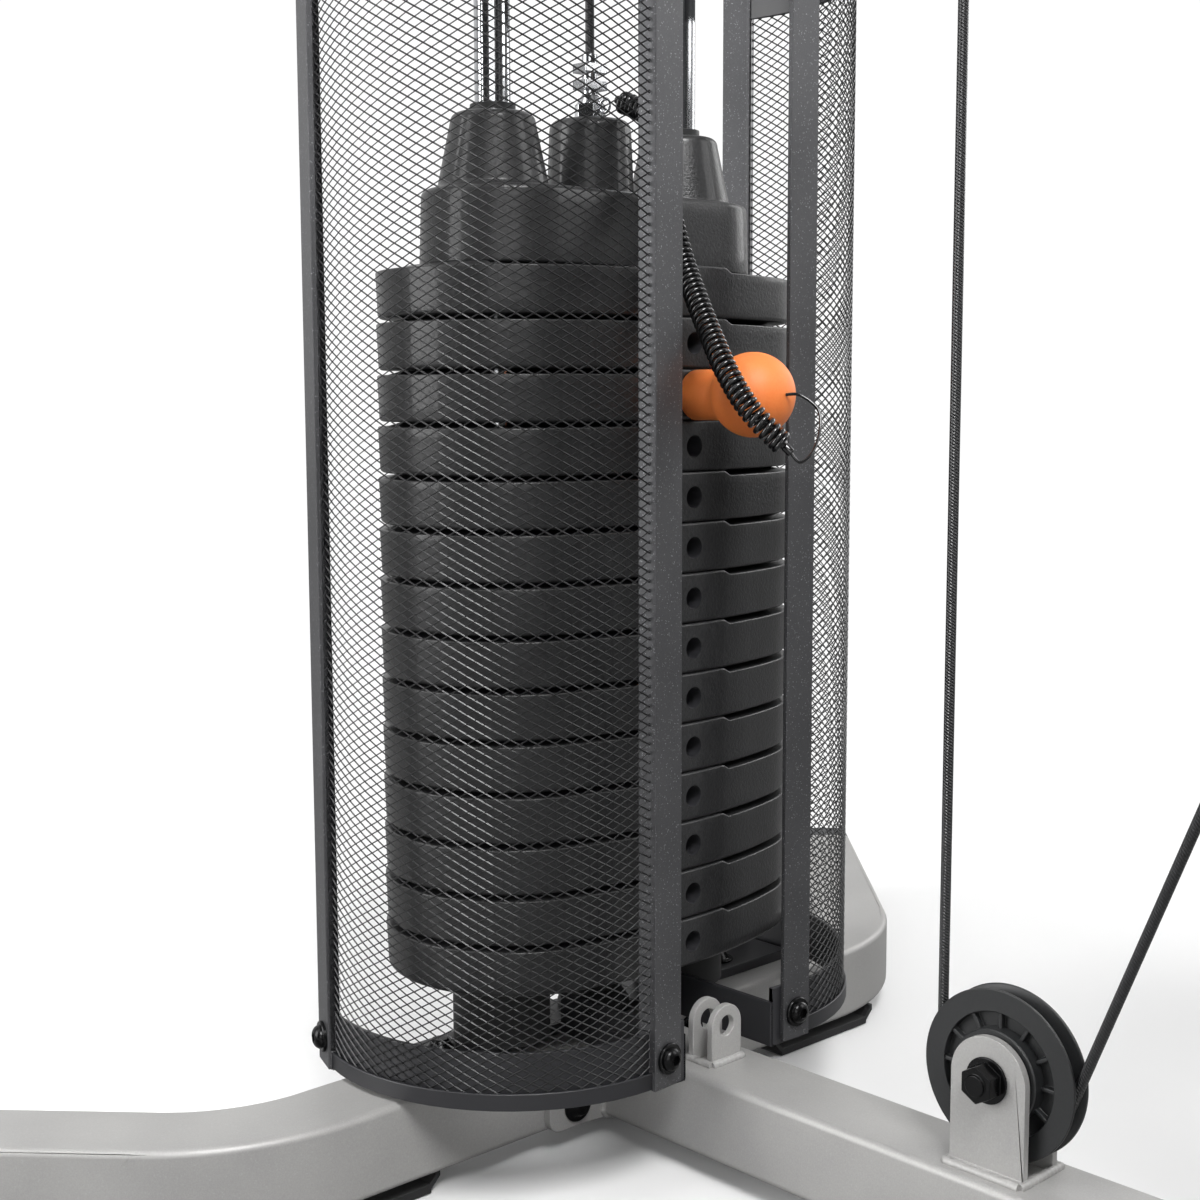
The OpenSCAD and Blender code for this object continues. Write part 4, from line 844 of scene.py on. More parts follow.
@dataclass
class CastStack(Builder):
    """Weight plates and the head, cast iron with rounded and drafted edges.

    A plate's outline is the curve of four arcs p(t) = c(t) + (radius(t) - inset) * (cos t, sin t),
    where t is the direction of the outline's normal: near the ends the centre is (+-(a - r), 0) and
    the radius r, elsewhere the centre is (0, +-(b - R)) and the radius R. Its top is lowered by
    slot * w(x), where w rises from 0 on the land in the middle to 1 beside it.
    """

    half_a: float = 130.0
    half_b: float = 81.0
    end_r: float = 72.0
    pitch: float = 27.0
    seat_gap: float = 0.04
    plate_gap: float = 0.06
    plate_rounds: tuple[float, float] = (2.4, 1.2)
    plate_draft: float = 0.8
    count: int = 14
    picked: int = 3
    slot: float = 2.5
    land: float = 25.0
    end_land: float = 104.0
    rod_x: float = 69.5
    rod_bore: float = 11.0
    stem_bore: float = 13.0
    pin_hole: float = 5.5
    head_h: float = 40.0
    head_half: tuple[float, float] = (107.0, 47.0)
    head_rounds: tuple[float, float] = (1.6, 3.6)
    head_draft: float = -1.2
    head_bore: float = 12.2
    head_recess: float = 12.9
    recess_h: float = 10.5
    boss_h: float = 39.5
    stem_boss_h: float = 42.5
    stem_bore_top: float = 6.6
    rod_boss: tuple[float, float] = (29.0, 22.6)
    stem_boss: tuple[float, float] = (24.0, 22.5)
    boss_foot: float = -4.0
    over: float = 5.0

    def outline(self, inset: float) -> Points:
        """Outline of a plate.

        Args:
            inset: How far it is moved inwards.

        Returns:
            X and Y of its points.
        """
        c = self.half_a - self.end_r
        big = (c * c + self.half_b ** 2 - self.end_r ** 2) / (2 * (self.half_b - self.end_r))
        turn = math.atan2(big - self.half_b, c)
        end, broad = np.linspace(-turn, turn, 81)[:-1], np.linspace(turn, math.pi - turn, 121)[:-1]
        t = np.concatenate([end, broad, end + math.pi, broad + math.pi])
        is_end = np.abs(np.cos(t)) >= math.cos(turn) - 1e-9
        x = np.where(is_end, np.sign(np.cos(t)) * c, 0)
        y = np.where(is_end, 0, np.sign(np.sin(t)) * (self.half_b - big))
        radius = np.where(is_end, self.end_r, big) - inset
        return np.stack([x + radius * np.cos(t), y + radius * np.sin(t)], -1)

    def solid(self, name: str, ring: Callable[[float], Points], rounds: tuple[float, float], draft: float,
              height: float, sink: Callable[[Points, Points], Points] | None = None) -> Piece:
        """A cast block: rings of its outline, rounded at the foot and the top, with a draft between.

        Args:
            name: The piece's name.
            ring: Gives the outline's points for an inset.
            rounds: Radius of the rounding at the foot and at the top.
            draft: How much narrower the foot is than the top on each side, negative for a wider foot.
            height: Height of the block.
            sink: Gives how far the top lies lower at each X and share of the outline, or None.

        Returns:
            The block, its foot at height 0.
        """
        low_r, high_r = rounds
        t = np.linspace(0, math.pi / 2, 7)
        foot, top = max(draft, 0), max(-draft, 0)
        rows = [(foot + low_r * (1 - math.sin(k)), low_r * (1 - math.cos(k))) for k in t]
        rows += [(foot + (top - foot) * k, low_r + (height - low_r - high_r) * k) for k in (0.25, 0.5, 0.75)]
        rows += [(top + high_r * (1 - math.cos(k)), height - high_r * (1 - math.sin(k))) for k in t]
        inner = [0.0, 0.02] + list(np.linspace(0.15, 0.97, 12))
        shares = inner + [1.0] * len(rows) + inner[::-1]
        rows = rows[:1] * len(inner) + rows + rows[-1:] * len(inner)
        flat = np.stack([ring(inset) * share for (inset, _), share in zip(rows, shares)])
        z = np.repeat(np.array([[h] for _, h in rows]), flat.shape[1], 1)
        if sink is not None:
            upper = np.clip((z - height * 0.6) / (height * 0.4), 0, 1)
            z = z - sink(flat[..., 0], np.array(shares)[:, None]) * upper
        points = np.concatenate([flat, z[..., None]], -1)
        piece = new_piece(name, points, grid_faces(*flat.shape[:2]), IRON)
        merge(piece)
        return piece

    def rod(self, radius: float, x: float, high: float) -> Piece:
        """An upright cylinder to cut with, from under the foot to over the height high."""
        low, high = -self.over, high + self.over
        profile = [(0, low), (radius, low), (radius, high), (0, high)]
        return revolve("cutter", profile, (x, 0, 0), UP, IRON, 48)

    def copies(self, name: str, pattern: Piece, heights: list[float]) -> Piece:
        """One piece with a copy of a pattern at each height.

        Args:
            name: The piece's name.
            pattern: The pattern at height 0.
            heights: The heights.

        Returns:
            The piece.
        """
        made = []
        for z in heights:
            one = put(pattern.copy())
            one.data = pattern.data.copy()
            one.data.transform(Matrix.Translation((0, 0, z * MM)))
            made.append(one)
        return join(name, made)

    def plates(self, top: float) -> None:
        """Makes the plates.

        Args:
            top: Height of the top of the stack.
        """
        def sink(x: Points, share: Points) -> Points:
            """Returns how far the top lies lower at each X and share of the outline."""
            x = np.abs(x)
            near_rim = np.clip((share - 0.9) / 0.05, 0, 1)
            past_land = self.slot * np.clip((x - self.land) / 5.0, 0, 1)
            return past_land * np.where(x > self.end_land, near_rim, 1.0)

        height = self.pitch - self.plate_gap
        pattern = self.solid("plate", self.outline, self.plate_rounds, self.plate_draft, height, sink)
        r, rim = self.pin_hole, self.half_b
        hole = [(0, -25), (r, -25), (r, rim - 1.2), (r + 0.7, rim + 0.2), (r + 0.7, 100), (0, 100)]
        cut(pattern, *[self.rod(self.rod_bore, s * self.rod_x, self.pitch) for s in (-1, 1)],
            self.rod(self.stem_bore, 0, self.pitch),
            revolve("cutter", hole, (0, 0, self.pitch / 2), (0, -1, 0), IRON, 48))
        dress(pattern, IRON)
        pattern.data.materials.append(BLACK.material())
        for face in pattern.data.polygons:
            x, y, z = face.center / MM
            face.material_index = int(math.hypot(x, z - self.pitch / 2) < r + 0.2 and y < 0)
        shade(pattern, 32)
        levels = [top - (self.count - k) * self.pitch for k in range(self.count)]
        still = self.count - self.picked
        self.keep(self.copies("plates_at_rest", pattern, levels[:still]), Body.ROOT, "resting_plates")
        self.keep(self.copies("plates_on_pin", pattern, levels[still:]), Body.STACK, "lifted_plates")
        bpy.data.objects.remove(pattern)

    def boss(self, x: float, radii: tuple[float, float], tall: float, bore: float) -> Piece:
        """A boss of the head: a hollow fillet at its foot, a rounded crown and a bore, recessed if x is 0.

        Args:
            x: Its place.
            radii: Its radius just over the fillet, and at the crown.
            tall: Its height over the block.
            bore: Radius of the bore.

        Returns:
            The boss.
        """
        (low, high), hollow, crown_r, foot = radii, 4.0, 5.0, self.boss_foot
        turn = np.linspace(0, math.pi / 2, 8)
        inside = [(self.head_recess, self.recess_h), (self.head_recess, foot)] if x == 0 else [(bore, foot)]
        profile = inside[-1:] + [(low + hollow - 0.1, foot)]
        profile += [(low + hollow * (1 - math.sin(u)), hollow * (1 - math.cos(u))) for u in turn]
        profile += [(high + 0.1, tall - crown_r - 0.6)]
        profile += [(high + crown_r * (math.cos(u) - 1), tall + crown_r * (math.sin(u) - 1)) for u in turn]
        profile += [(bore, tall)] + ([(bore, self.recess_h)] if x == 0 else []) + inside
        return revolve("boss", profile, (x, 0, self.head_h), UP, IRON, 96, 32)

    def head(self, top: float) -> None:
        """Makes the head: a block with two bosses on the rods and one round the cable's end.

        Args:
            top: Height of the top of the stack.
        """
        a, b = self.head_half

        def stadium(inset: float) -> Points:
            """Returns the head's outline, two half circles and two straight sides, moved inwards."""
            t = around(160)
            side = np.sign(np.cos(t)) * (np.abs(np.cos(t)) > 1e-9) * (a - b)
            return np.stack([side + (b - inset) * np.cos(t), (b - inset) * np.sin(t)], -1)

        block = self.solid("head_block", stadium, self.head_rounds, self.head_draft, self.head_h)
        bosses = [self.boss(s * self.rod_x, self.rod_boss, self.boss_h, self.head_bore) for s in (-1, 1)]
        bosses.append(self.boss(0.0, self.stem_boss, self.stem_boss_h, self.stem_bore_top))
        cut(block, *[self.rod(self.head_bore, s * self.rod_x, self.head_h) for s in (-1, 1)],
            self.rod(self.head_recess, 0, self.head_h))
        dress(block, IRON)
        shade(block, 32)
        whole = join("cast_head", [block] + bosses)
        whole.data.transform(Matrix.Translation((0, 0, top * MM)))
        self.keep(whole, Body.STACK, "stack_head")

    def build(self) -> None:
        """Makes the plates and the head."""
        top = round(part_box("lifted_plates")[1][2] / MM + self.seat_gap, 1)
        self.plates(top)
        self.head(top)


@dataclass
class ShroudFrames(Builder):
    """Strips of both shrouds in the grey coat, with the bands and hems between them in black."""

    half_w: float = 10.0
    rear: float = 160.2
    between: tuple[float, float] = (166.2, 267.3)
    back_r: float = 106.0
    lip_share: float = 0.12

    def thin_lip(self, piece: Piece, side: int) -> None:
        """Draws the rear strip's inward lip back to the mesh.

        Inside back_r, a point's radius r becomes back_r + lip_share * (r - back_r).

        Args:
            piece: The frame.
            side: 1 for the near shroud, -1 for the far one.
        """
        a = math.radians(self.rear)
        turned = np.array([[math.cos(a), math.sin(a)], [-math.sin(a), math.cos(a)]])
        places = read_points(piece.data)
        flat = (places[:, :2] * [side, 1] - [SIZE.shroud_x, 0]) @ turned.T
        strip = (flat[:, 1] > 0) & (flat[:, 1] < self.half_w + 2)
        lip = strip & (flat[:, 0] < self.back_r) & (flat[:, 0] > 60)
        flat[lip, 0] = self.back_r + self.lip_share * (flat[lip, 0] - self.back_r)
        places[:, :2] = (flat @ turned + [SIZE.shroud_x, 0]) * [side, 1]
        write_points(piece.data, places)

    def build(self) -> None:
        """Makes both frames."""
        for node, side in (("near_shroud_frame", 1), ("far_shroud_frame", -1)):
            piece = soften(node, SHROUD, Body.ROOT, 0.6)
            self.thin_lip(piece, side)
            piece.data.materials.append(BLACK.material())
            for face in piece.data.polygons:
                x, y, _ = face.center / MM
                turn = math.degrees(math.atan2(y, side * x - SIZE.shroud_x)) % 360
                face.material_index = int(self.between[0] < turn < self.between[1])
            shade(piece, 30)
            self.made.append(piece)


@dataclass
class PulleyHubs(Builder):
    """Raised ring round the bearing on both faces of each pulley, moulded with the wheel."""

    inner: float = 10.5
    outer: float = 22.5

    def build(self) -> None:
        """Makes a pair of rings for each pulley."""
        for node, body in WHEELS.items():
            low, high = (np.array(c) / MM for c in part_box(node))
            half = (high[0] - low[0]) / 2 - 0.5
            profile = [(self.inner, half - 7), (self.outer, half - 7), (self.outer, half - 0.6),
                       (self.outer - 0.6, half), (self.outer - 3.0, half), (self.outer - 3.6, half - 1.0),
                       (self.inner, half - 1.0), (self.inner, half - 7)]
            pair = [revolve(f"hub_{side}", profile, (low + high) / 2, (side, 0, 0), NYLON)
                    for side in (-1, 1)]
            self.keep(join(f"{node}_hubs", pair), body)


@dataclass
class Screens(Builder):
    """Expanded metal of both shrouds: two families of slanted strands, rolled to the shroud's arc.

    On the unrolled sheet, strand k of a family is the line z = k * short_way + slope * s, where s is
    the distance along the arc and the slope is plus or minus short_way / long_way. Each strand is a
    thin bar, leaning about its own line as the stretched metal does.
    """

    long_way: float = 8.7
    short_way: float = 4.85
    widths: tuple[float, float] = (0.46, 0.66)
    thick: float = 0.5
    tilt: float = 35.0
    radius: float = 108.5
    angles: tuple[float, float] = (165.6, 267.9)
    low: float = 59.6
    high: float = 1479.4
    steps: int = 16

    def strands(self, sense: int) -> tuple[Points, Points]:
        """Points and faces of one family.

        Args:
            sense: 1 or -1, the sign of the slope.

        Returns:
            The points and the faces.
        """
        first, last = np.radians(self.angles)
        length = self.radius * (last - first)
        slope = sense * self.short_way / self.long_way
        rise = slope * length
        count = int((self.high - self.low + abs(rise)) / self.short_way)
        start = self.low - max(rise, 0) + self.short_way * (np.arange(count) + 0.5)
        ends = np.clip(np.stack([self.low - start, self.high - start]) / slope, 0, length)
        near, far = ends.min(0), ends.max(0)
        long_enough = far - near > 1.5
        start, near, far = start[long_enough], near[long_enough], far[long_enough]
        s = near[:, None] + (far - near)[:, None] * np.linspace(0, 1, self.steps + 1)
        a = first + s / self.radius
        zero = np.zeros_like(a)
        out = np.stack([np.cos(a), np.sin(a), zero], -1)
        across = np.cross(out, unit(np.stack([-np.sin(a), np.cos(a), zero + slope], -1)))
        lean = math.radians(self.tilt * sense)
        wide = across * math.cos(lean) + out * math.sin(lean)
        deep = out * math.cos(lean) - across * math.sin(lean)
        wide, deep = wide * self.widths[0 if sense > 0 else 1] / 2, deep * self.thick / 2
        middle = np.stack([SIZE.shroud_x + zero, zero, start[:, None] + slope * s], -1)
        middle += (self.radius + 0.04 * sense) * out
        points = np.stack([middle + i * wide + j * deep for i, j in ((1, 1), (-1, 1), (-1, -1), (1, -1))], 2)
        bar = np.array(tube_faces(self.steps + 1, 4))
        faces = bar[None] + (np.arange(len(points)) * (self.steps + 1) * 4)[:, None, None]
        return points.reshape(-1, 3), faces.reshape(-1, 4)

    def build(self) -> None:
        """Makes both screens, the far one as the mirror image of the near one."""
        first, second = self.strands(1), self.strands(-1)
        points = np.concatenate([first[0], second[0]])
        faces = np.concatenate([first[1], second[1] + len(first[0])])
        self.keep(new_piece("near_expanded_metal", points, faces, MESH), Body.ROOT, "near_shroud_screen")
        far = new_piece("far_expanded_metal", points * [-1, 1, 1], faces[:, ::-1], MESH)
        self.keep(far, Body.ROOT, "far_shroud_screen")


@dataclass
class Fasteners(Builder):
    """Button-headed screws of the shrouds, with washers, hexagonal sockets and nuts behind the sheet."""

    head_r: float = 6.25
    washer_r: float = 8.25
    socket: float = 5.0
    strip_angles: tuple[float, float] = (273.3, 160.2)
    heights: tuple[float, float] = (74.3, 1460.7)
    seat_r: float = 112.0
    shank: tuple = ((0, -14.6), (2.9, -14.6), (3, -14.2), (3, -6.2), (0, -6.2))
    nut: tuple = ((0, -12.3), (5, -12.3), (5.5, -11.8), (5.5, -7.5), (6.5, -7.4), (6.6, -6.2), (0, -6.2))

    def screw(self, name: str, seat: Points, axis: Points) -> Piece:
        """One screw: a dome of revolution whose middle rows turn into a hexagon for the socket.

        Args:
            name: The piece's name.
            seat: Where the washer lies on the sheet.
            axis: Direction that the head points in.

        Returns:
            The object.
        """
        turn = around(48)
        hexagon = (self.socket / 2) / np.cos((turn + np.pi / 6) % (np.pi / 3) - np.pi / 6)
        washer, head = self.washer_r, self.head_r
        rows = [(0.0, 0.0), (washer - 0.2, 0.0), (washer, 0.25), (washer, 1.5), (washer - 0.4, 1.9),
                (head, 1.9), (head, 2.2)]
        rows += [(head * math.cos(t), 2.2 + 4.0 * math.sin(t)) for t in np.linspace(0.15, 1.0, 7)]
        crown = rows[-1][1]
        radii = [np.full(len(turn), r) for r, _ in rows]
        radii += [hexagon + 0.25, hexagon, hexagon * 0.98, hexagon * 0.0]
        heights = np.array([h for _, h in rows] + [crown + 0.12, crown - 0.1, 3.1, 2.7])
        ring = np.cos(turn)[:, None] * UP + np.sin(turn)[:, None] * np.cross(axis, UP)
        points = seat + np.stack(radii)[:, :, None] * ring[None] + heights[:, None, None] * axis
        piece = new_piece(name, points, grid_faces(len(heights), len(turn)), OXIDE)
        merge(piece)
        shade(piece, 35)
        return piece

    def build(self) -> None:
        """Makes the screws of both shrouds at the bottom and the top, in the place of the plain ones."""
        parts = []
        for side in (1, -1):
            for angle in np.radians(self.strip_angles):
                out = np.array([side * math.cos(angle), math.sin(angle), 0])
                for z in self.heights:
                    seat = np.array([side * SIZE.shroud_x, 0, z]) + self.seat_r * out
                    parts += [self.screw("screw", seat, out),
                              revolve("shank", self.shank, seat, out, BLACK, 24),
                              revolve("nut", self.nut, seat, out, BLACK, 6, 25)]
        self.keep(join("shroud_screws", parts), Body.ROOT, "shroud_bolts")


@dataclass
class Welds(Builder):
    """Weld beads where tubes and plates of the frame meet.

    A bead is a tube along the joint whose radius swells once for each ripple: r = r0 times
    (0.86 + 0.14 times the absolute sine of pi times the distance over the ripple's pitch).
    """

    radius: float = 2.5
    pitch: float = 3.2
    rail_half: float = 25.0
    plate: float = 5.0
    corner: float = 3.0
    clevis_half: tuple = (("low_pulley_clevis", 16.8), ("anchor_clevis", 11.7))
    ear: tuple[float, float, float] = (14.2, 19.0, 1964.6)

    def bead(self, corners: list, closed: bool = True) -> Piece:
        """One bead.

        Args:
            corners: Corners of its path.
            closed: Whether the path returns to its first corner.

        Returns:
            The object.
        """
        path = even(corners + corners[:1] if closed else corners, 0.8)
        run = run_along(path)
        ripple = 0.86 + 0.14 * np.abs(np.sin(np.pi * run / self.pitch))
        wander = 0.06 * np.sin(run / 7.3) + 0.04 * np.sin(run / 2.9)
        taper = np.ones_like(run) if closed else np.clip(np.minimum(run, run[-1] - run) / 2.0 + 0.35, 0, 1)
        return sweep("weld", path, self.radius * (ripple + wander) * taper, SILVER, 10, 60)

    def build(self) -> None:
        """Makes the beads of the rail's end plates, the clevises and the pulley ears."""
        low, high = SIZE.base_z
        x, c = self.rail_half, self.corner
        far_end, near_end = (end[1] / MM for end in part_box("main_rail"))
        beads = [self.bead([[c - x, y, low], [x - c, y, low], [x, y, low + c], [x, y, high - c],
                            [x - c, y, high], [c - x, y, high], [-x, y, high - c], [-x, y, low + c]])
                 for y in (near_end - self.plate, far_end + self.plate)]
        for node, wide in self.clevis_half:
            first, last = (end[1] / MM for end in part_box(node))
            z = high + 0.7
            beads.append(self.bead([[-wide, first, z], [wide, first, z], [wide, last, z], [-wide, last, z]]))
        x, half, z = self.ear
        beads += [self.bead([[side * x, y - half, z], [side * x, y + half, z]], False)
                  for y in SIZE.axle_y for side in (-1, 1)]
        self.keep(join("weld_beads", beads), Body.ROOT)


@dataclass
class Cables(Builder):
    """Coated cables, each a round tube whose UV map carries the lay of its strands."""

    hook_h: float = 62.0

    def tube(self, name: str, path: Points | list, step: float = 4.0) -> Piece:
        """A cable along a path, with a ring at about every step."""
        return sweep(name, even(path, step), SIZE.cable_r, CABLE, 14)

    def upright(self, name: str, y: float, high: float, low: float) -> Piece:
        """An upright stretch of cable between two heights."""
        return self.tube(name, [[0, y, high], [0, y, low]], 8.0)

    def stretch(self, piece: Piece, node: str, body: Body, y: float, fixed: float, moving: float) -> None:
        """Lets an upright stretch grow or shrink with what it holds.

        Args:
            piece: The stretch.
            node: CAD node that it stands for.
            body: The body at its moving end.
            y: Y of the stretch.
            fixed: Height of its fixed end.
            moving: Height of its moving end.
        """
        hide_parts(node)
        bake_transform(piece, Body.ROOT.value, body.value, (0, y * MM, fixed * MM), (0, y * MM, moving * MM))
        self.made.append(piece)

    def build(self) -> None:
        """Makes every stretch of cable."""
        r, z = SIZE.pitch_r, SIZE.axle_z
        rear, middle, drop, front = SIZE.axle_y
        quarter = math.pi / 2
        over = [self.tube(f"over_{first:.0f}", np.concatenate([
            arc((first, z), r, 0, quarter, 24), arc((last, z), r, quarter, 2 * quarter, 24)]))
                for first, last in ((rear, middle), (drop, front))]
        self.keep(join("cables_over_boom", over), Body.ROOT, "top_cables")
        a = SIZE.cable_angle
        cam_point = [[0, SIZE.pivot[0] + SIZE.cam_r * math.cos(a), SIZE.pivot[1] + SIZE.cam_r * math.sin(a)]]
        to_cam = self.tube("cable_to_cam", np.concatenate([arc(SIZE.low, r, 0, a - math.pi, 40), cam_point]))
        self.keep(to_cam, Body.ROOT, "press_cable")
        lift = self.upright("cable_to_stack", 0.0, z, SIZE.fitting_z)
        self.stretch(lift, "stack_cable", Body.STACK, 0.0, z, SIZE.fitting_z)
        y, top = SIZE.float_place
        pair = [self.upright(f"float_strand_{side}", y + side * r, z, top + 0.3) for side in (-1, 1)]
        self.stretch(join("cables_to_float", pair), "float_strands", Body.FLOAT, y, z, top)
        rise = self.upright("cable_to_clamp", y, SIZE.clamp_z, SIZE.low[1])
        self.stretch(rise, "low_cable_rise", Body.FLOAT, y, SIZE.low[1], SIZE.clamp_z)
        y, hook = SIZE.lat[0], SIZE.lat[1] + self.hook_h
        self.stretch(self.upright("cable_to_lat", y, z, hook), "lat_cable", Body.LAT, y, z, hook)


@dataclass
class Knob(Builder):
    """Ball knob on the selector pin, turned in one piece with its neck.

    A hollow fillet between neck and ball is a quadratic curve to the ball's radius at fillet_r. A
    fine parting line runs round the ball.
    """

    neck_r: float = 13.25
    root_y: float = -81.3
    fillet_r: float = 17.0

    def build(self) -> None:
        """Makes the knob."""
        centre, ball_r = self.root_y - SIZE.knob_y, SIZE.ball_r
        start = np.array([self.neck_r, self.fillet_r])
        corner, stop = (np.array([r, centre - math.sqrt(ball_r ** 2 - r ** 2)])
                        for r in (self.neck_r, self.fillet_r))
        t = np.linspace(0, 1, 9)[:, None]
        fillet = (1 - t) ** 2 * start + 2 * t * (1 - t) * corner + t ** 2 * stop
        angle = np.linspace(math.atan2(stop[1] - centre, self.fillet_r), math.pi / 2, 48)[1:]
        radius = ball_r - 0.12 * np.exp(-((angle - 0.02) / 0.025) ** 2)
        ball = np.stack([radius * np.cos(angle), centre + radius * np.sin(angle)], -1)
        ball[-1, 0] = 0
        foot = [[0.0, 0.4], [6.0, 0.4], [11.9, 0.0], [12.8, 0.3], [self.neck_r, 1.1]]
        profile = np.concatenate([foot, fillet, ball])
        piece = revolve("ball_knob", profile, (0, self.root_y, SIZE.pin_z), (0, -1, 0), ORANGE, 96, 60)
        self.keep(piece, Body.PIN, "pin_knob")


@dataclass
class Lanyard(Builder):
    """Coiled cord from the ring on the head to the knob.

    The cord is a helix about a smooth curve through the route's points. Its radius grows from
    nothing over half a curl at each end, where the cord runs into its ferrule.
    """

    route: tuple = ((1, -24, 573), (3, -42, 564), (-1, -56, 545), (-9, -68, 525), (-16, -79, 506),
                    (-19, -90, 484), (-23, -103, 465), (-27, -117, 446), (-31, -132, 427), (-29, -146, 408),
                    (-18, -158, 391))
    end_route: tuple = ((-4, -165, 387), (5, -162, 398), (8, -158, 408), (4, -150, 415))
    coil_d: float = 12.4
    wire_d: float = 2.6
    curls: int = 72
    per_curl: int = 24
    ferrule_h: tuple[float, float] = (4.0, 6.0)

    def helix(self) -> tuple[Points, Points]:
        """Points of the coiled cord and the tangents of its route.

        Returns:
            The cord's middle line and the route's unit tangents at the same points.
        """
        count = self.curls * self.per_curl + 1
        u = np.linspace(0, 1, count)
        line = smooth_route(self.route, count)
        tangent = unit(np.gradient(line, axis=0))
        n = unit(np.cross(tangent, [1.0, 0, 0]))
        m = np.cross(tangent, n)
        r = (self.coil_d - self.wire_d) / 2 * np.minimum(1, 2 * np.minimum(u, 1 - u) * self.curls)
        a = 2 * np.pi * u * self.curls
        return line + (r * np.cos(a))[:, None] * n + (r * np.sin(a))[:, None] * m, tangent

    def ferrule(self, point: Points, way: Points, height: float) -> Piece:
        """A ferrule on one end of the coil.

        Args:
            point: The cord's end.
            way: Direction that it points in.
            height: Its height.

        Returns:
            The object.
        """
        r, ridge = 2.25, 2.0
        profile = [(0, -1.2), (1.9, -1.2), (r, -0.8), (r, 0.6), (ridge, 1.0), (r, 1.4), (r, height - 0.6),
                   (1.7, height), (0, height)]
        return revolve("ferrule", profile, point, way, CORD, 32)

    def build(self) -> None:
        """Makes the coil, its ferrules and its end wire."""
        path, tangent = self.helix()
        coil = sweep("coiled_cord", path, self.wire_d / 2, CORD, 12, 60)
        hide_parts("lanyard")
        front = SIZE.knob_y - SIZE.ball_r - 0.3
        start = [path[-1] + run * tangent[-1] for run in (5, 12)]
        wire = [*start, *self.end_route, (0, front, SIZE.pin_z)]
        ends = join("cord_ends", [
            self.ferrule(path[0], -tangent[0], self.ferrule_h[0]),
            self.ferrule(path[-1], tangent[-1], self.ferrule_h[1]),
            sweep("end_wire", smooth_route(wire, 60), 0.8, CORD, 10)])
        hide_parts("lanyard_ends")
        first, last = ((0, y * MM, z * MM) for _, y, z in (self.route[0], self.route[-1]))
        for piece in (coil, ends):
            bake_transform(piece, Body.STACK.value, Body.PIN.value, first, last)
        self.made += [coil, ends]


@dataclass(frozen=True)
class Pad:
    """A pad: its node, half its width and length, the middle of its board's back and its axes as rows."""

    node: str
    half: tuple[float, float]
    origin: tuple[float, float, float]
    axes: tuple = ((1, 0, 0), (0, 1, 0), (0, 0, 1))

    def place(self, flat: Points, height: float) -> Points:
        """Returns points of the object for X and Y on the pad and a height over its board's back."""
        return np.concatenate([flat, np.full((len(flat), 1), height)], 1) @ np.array(self.axes) + self.origin

    def heights(self, points: Points) -> Points:
        """Returns how high points of the object lie over the board's back."""
        return (points - self.origin) @ np.array(self.axes[2])


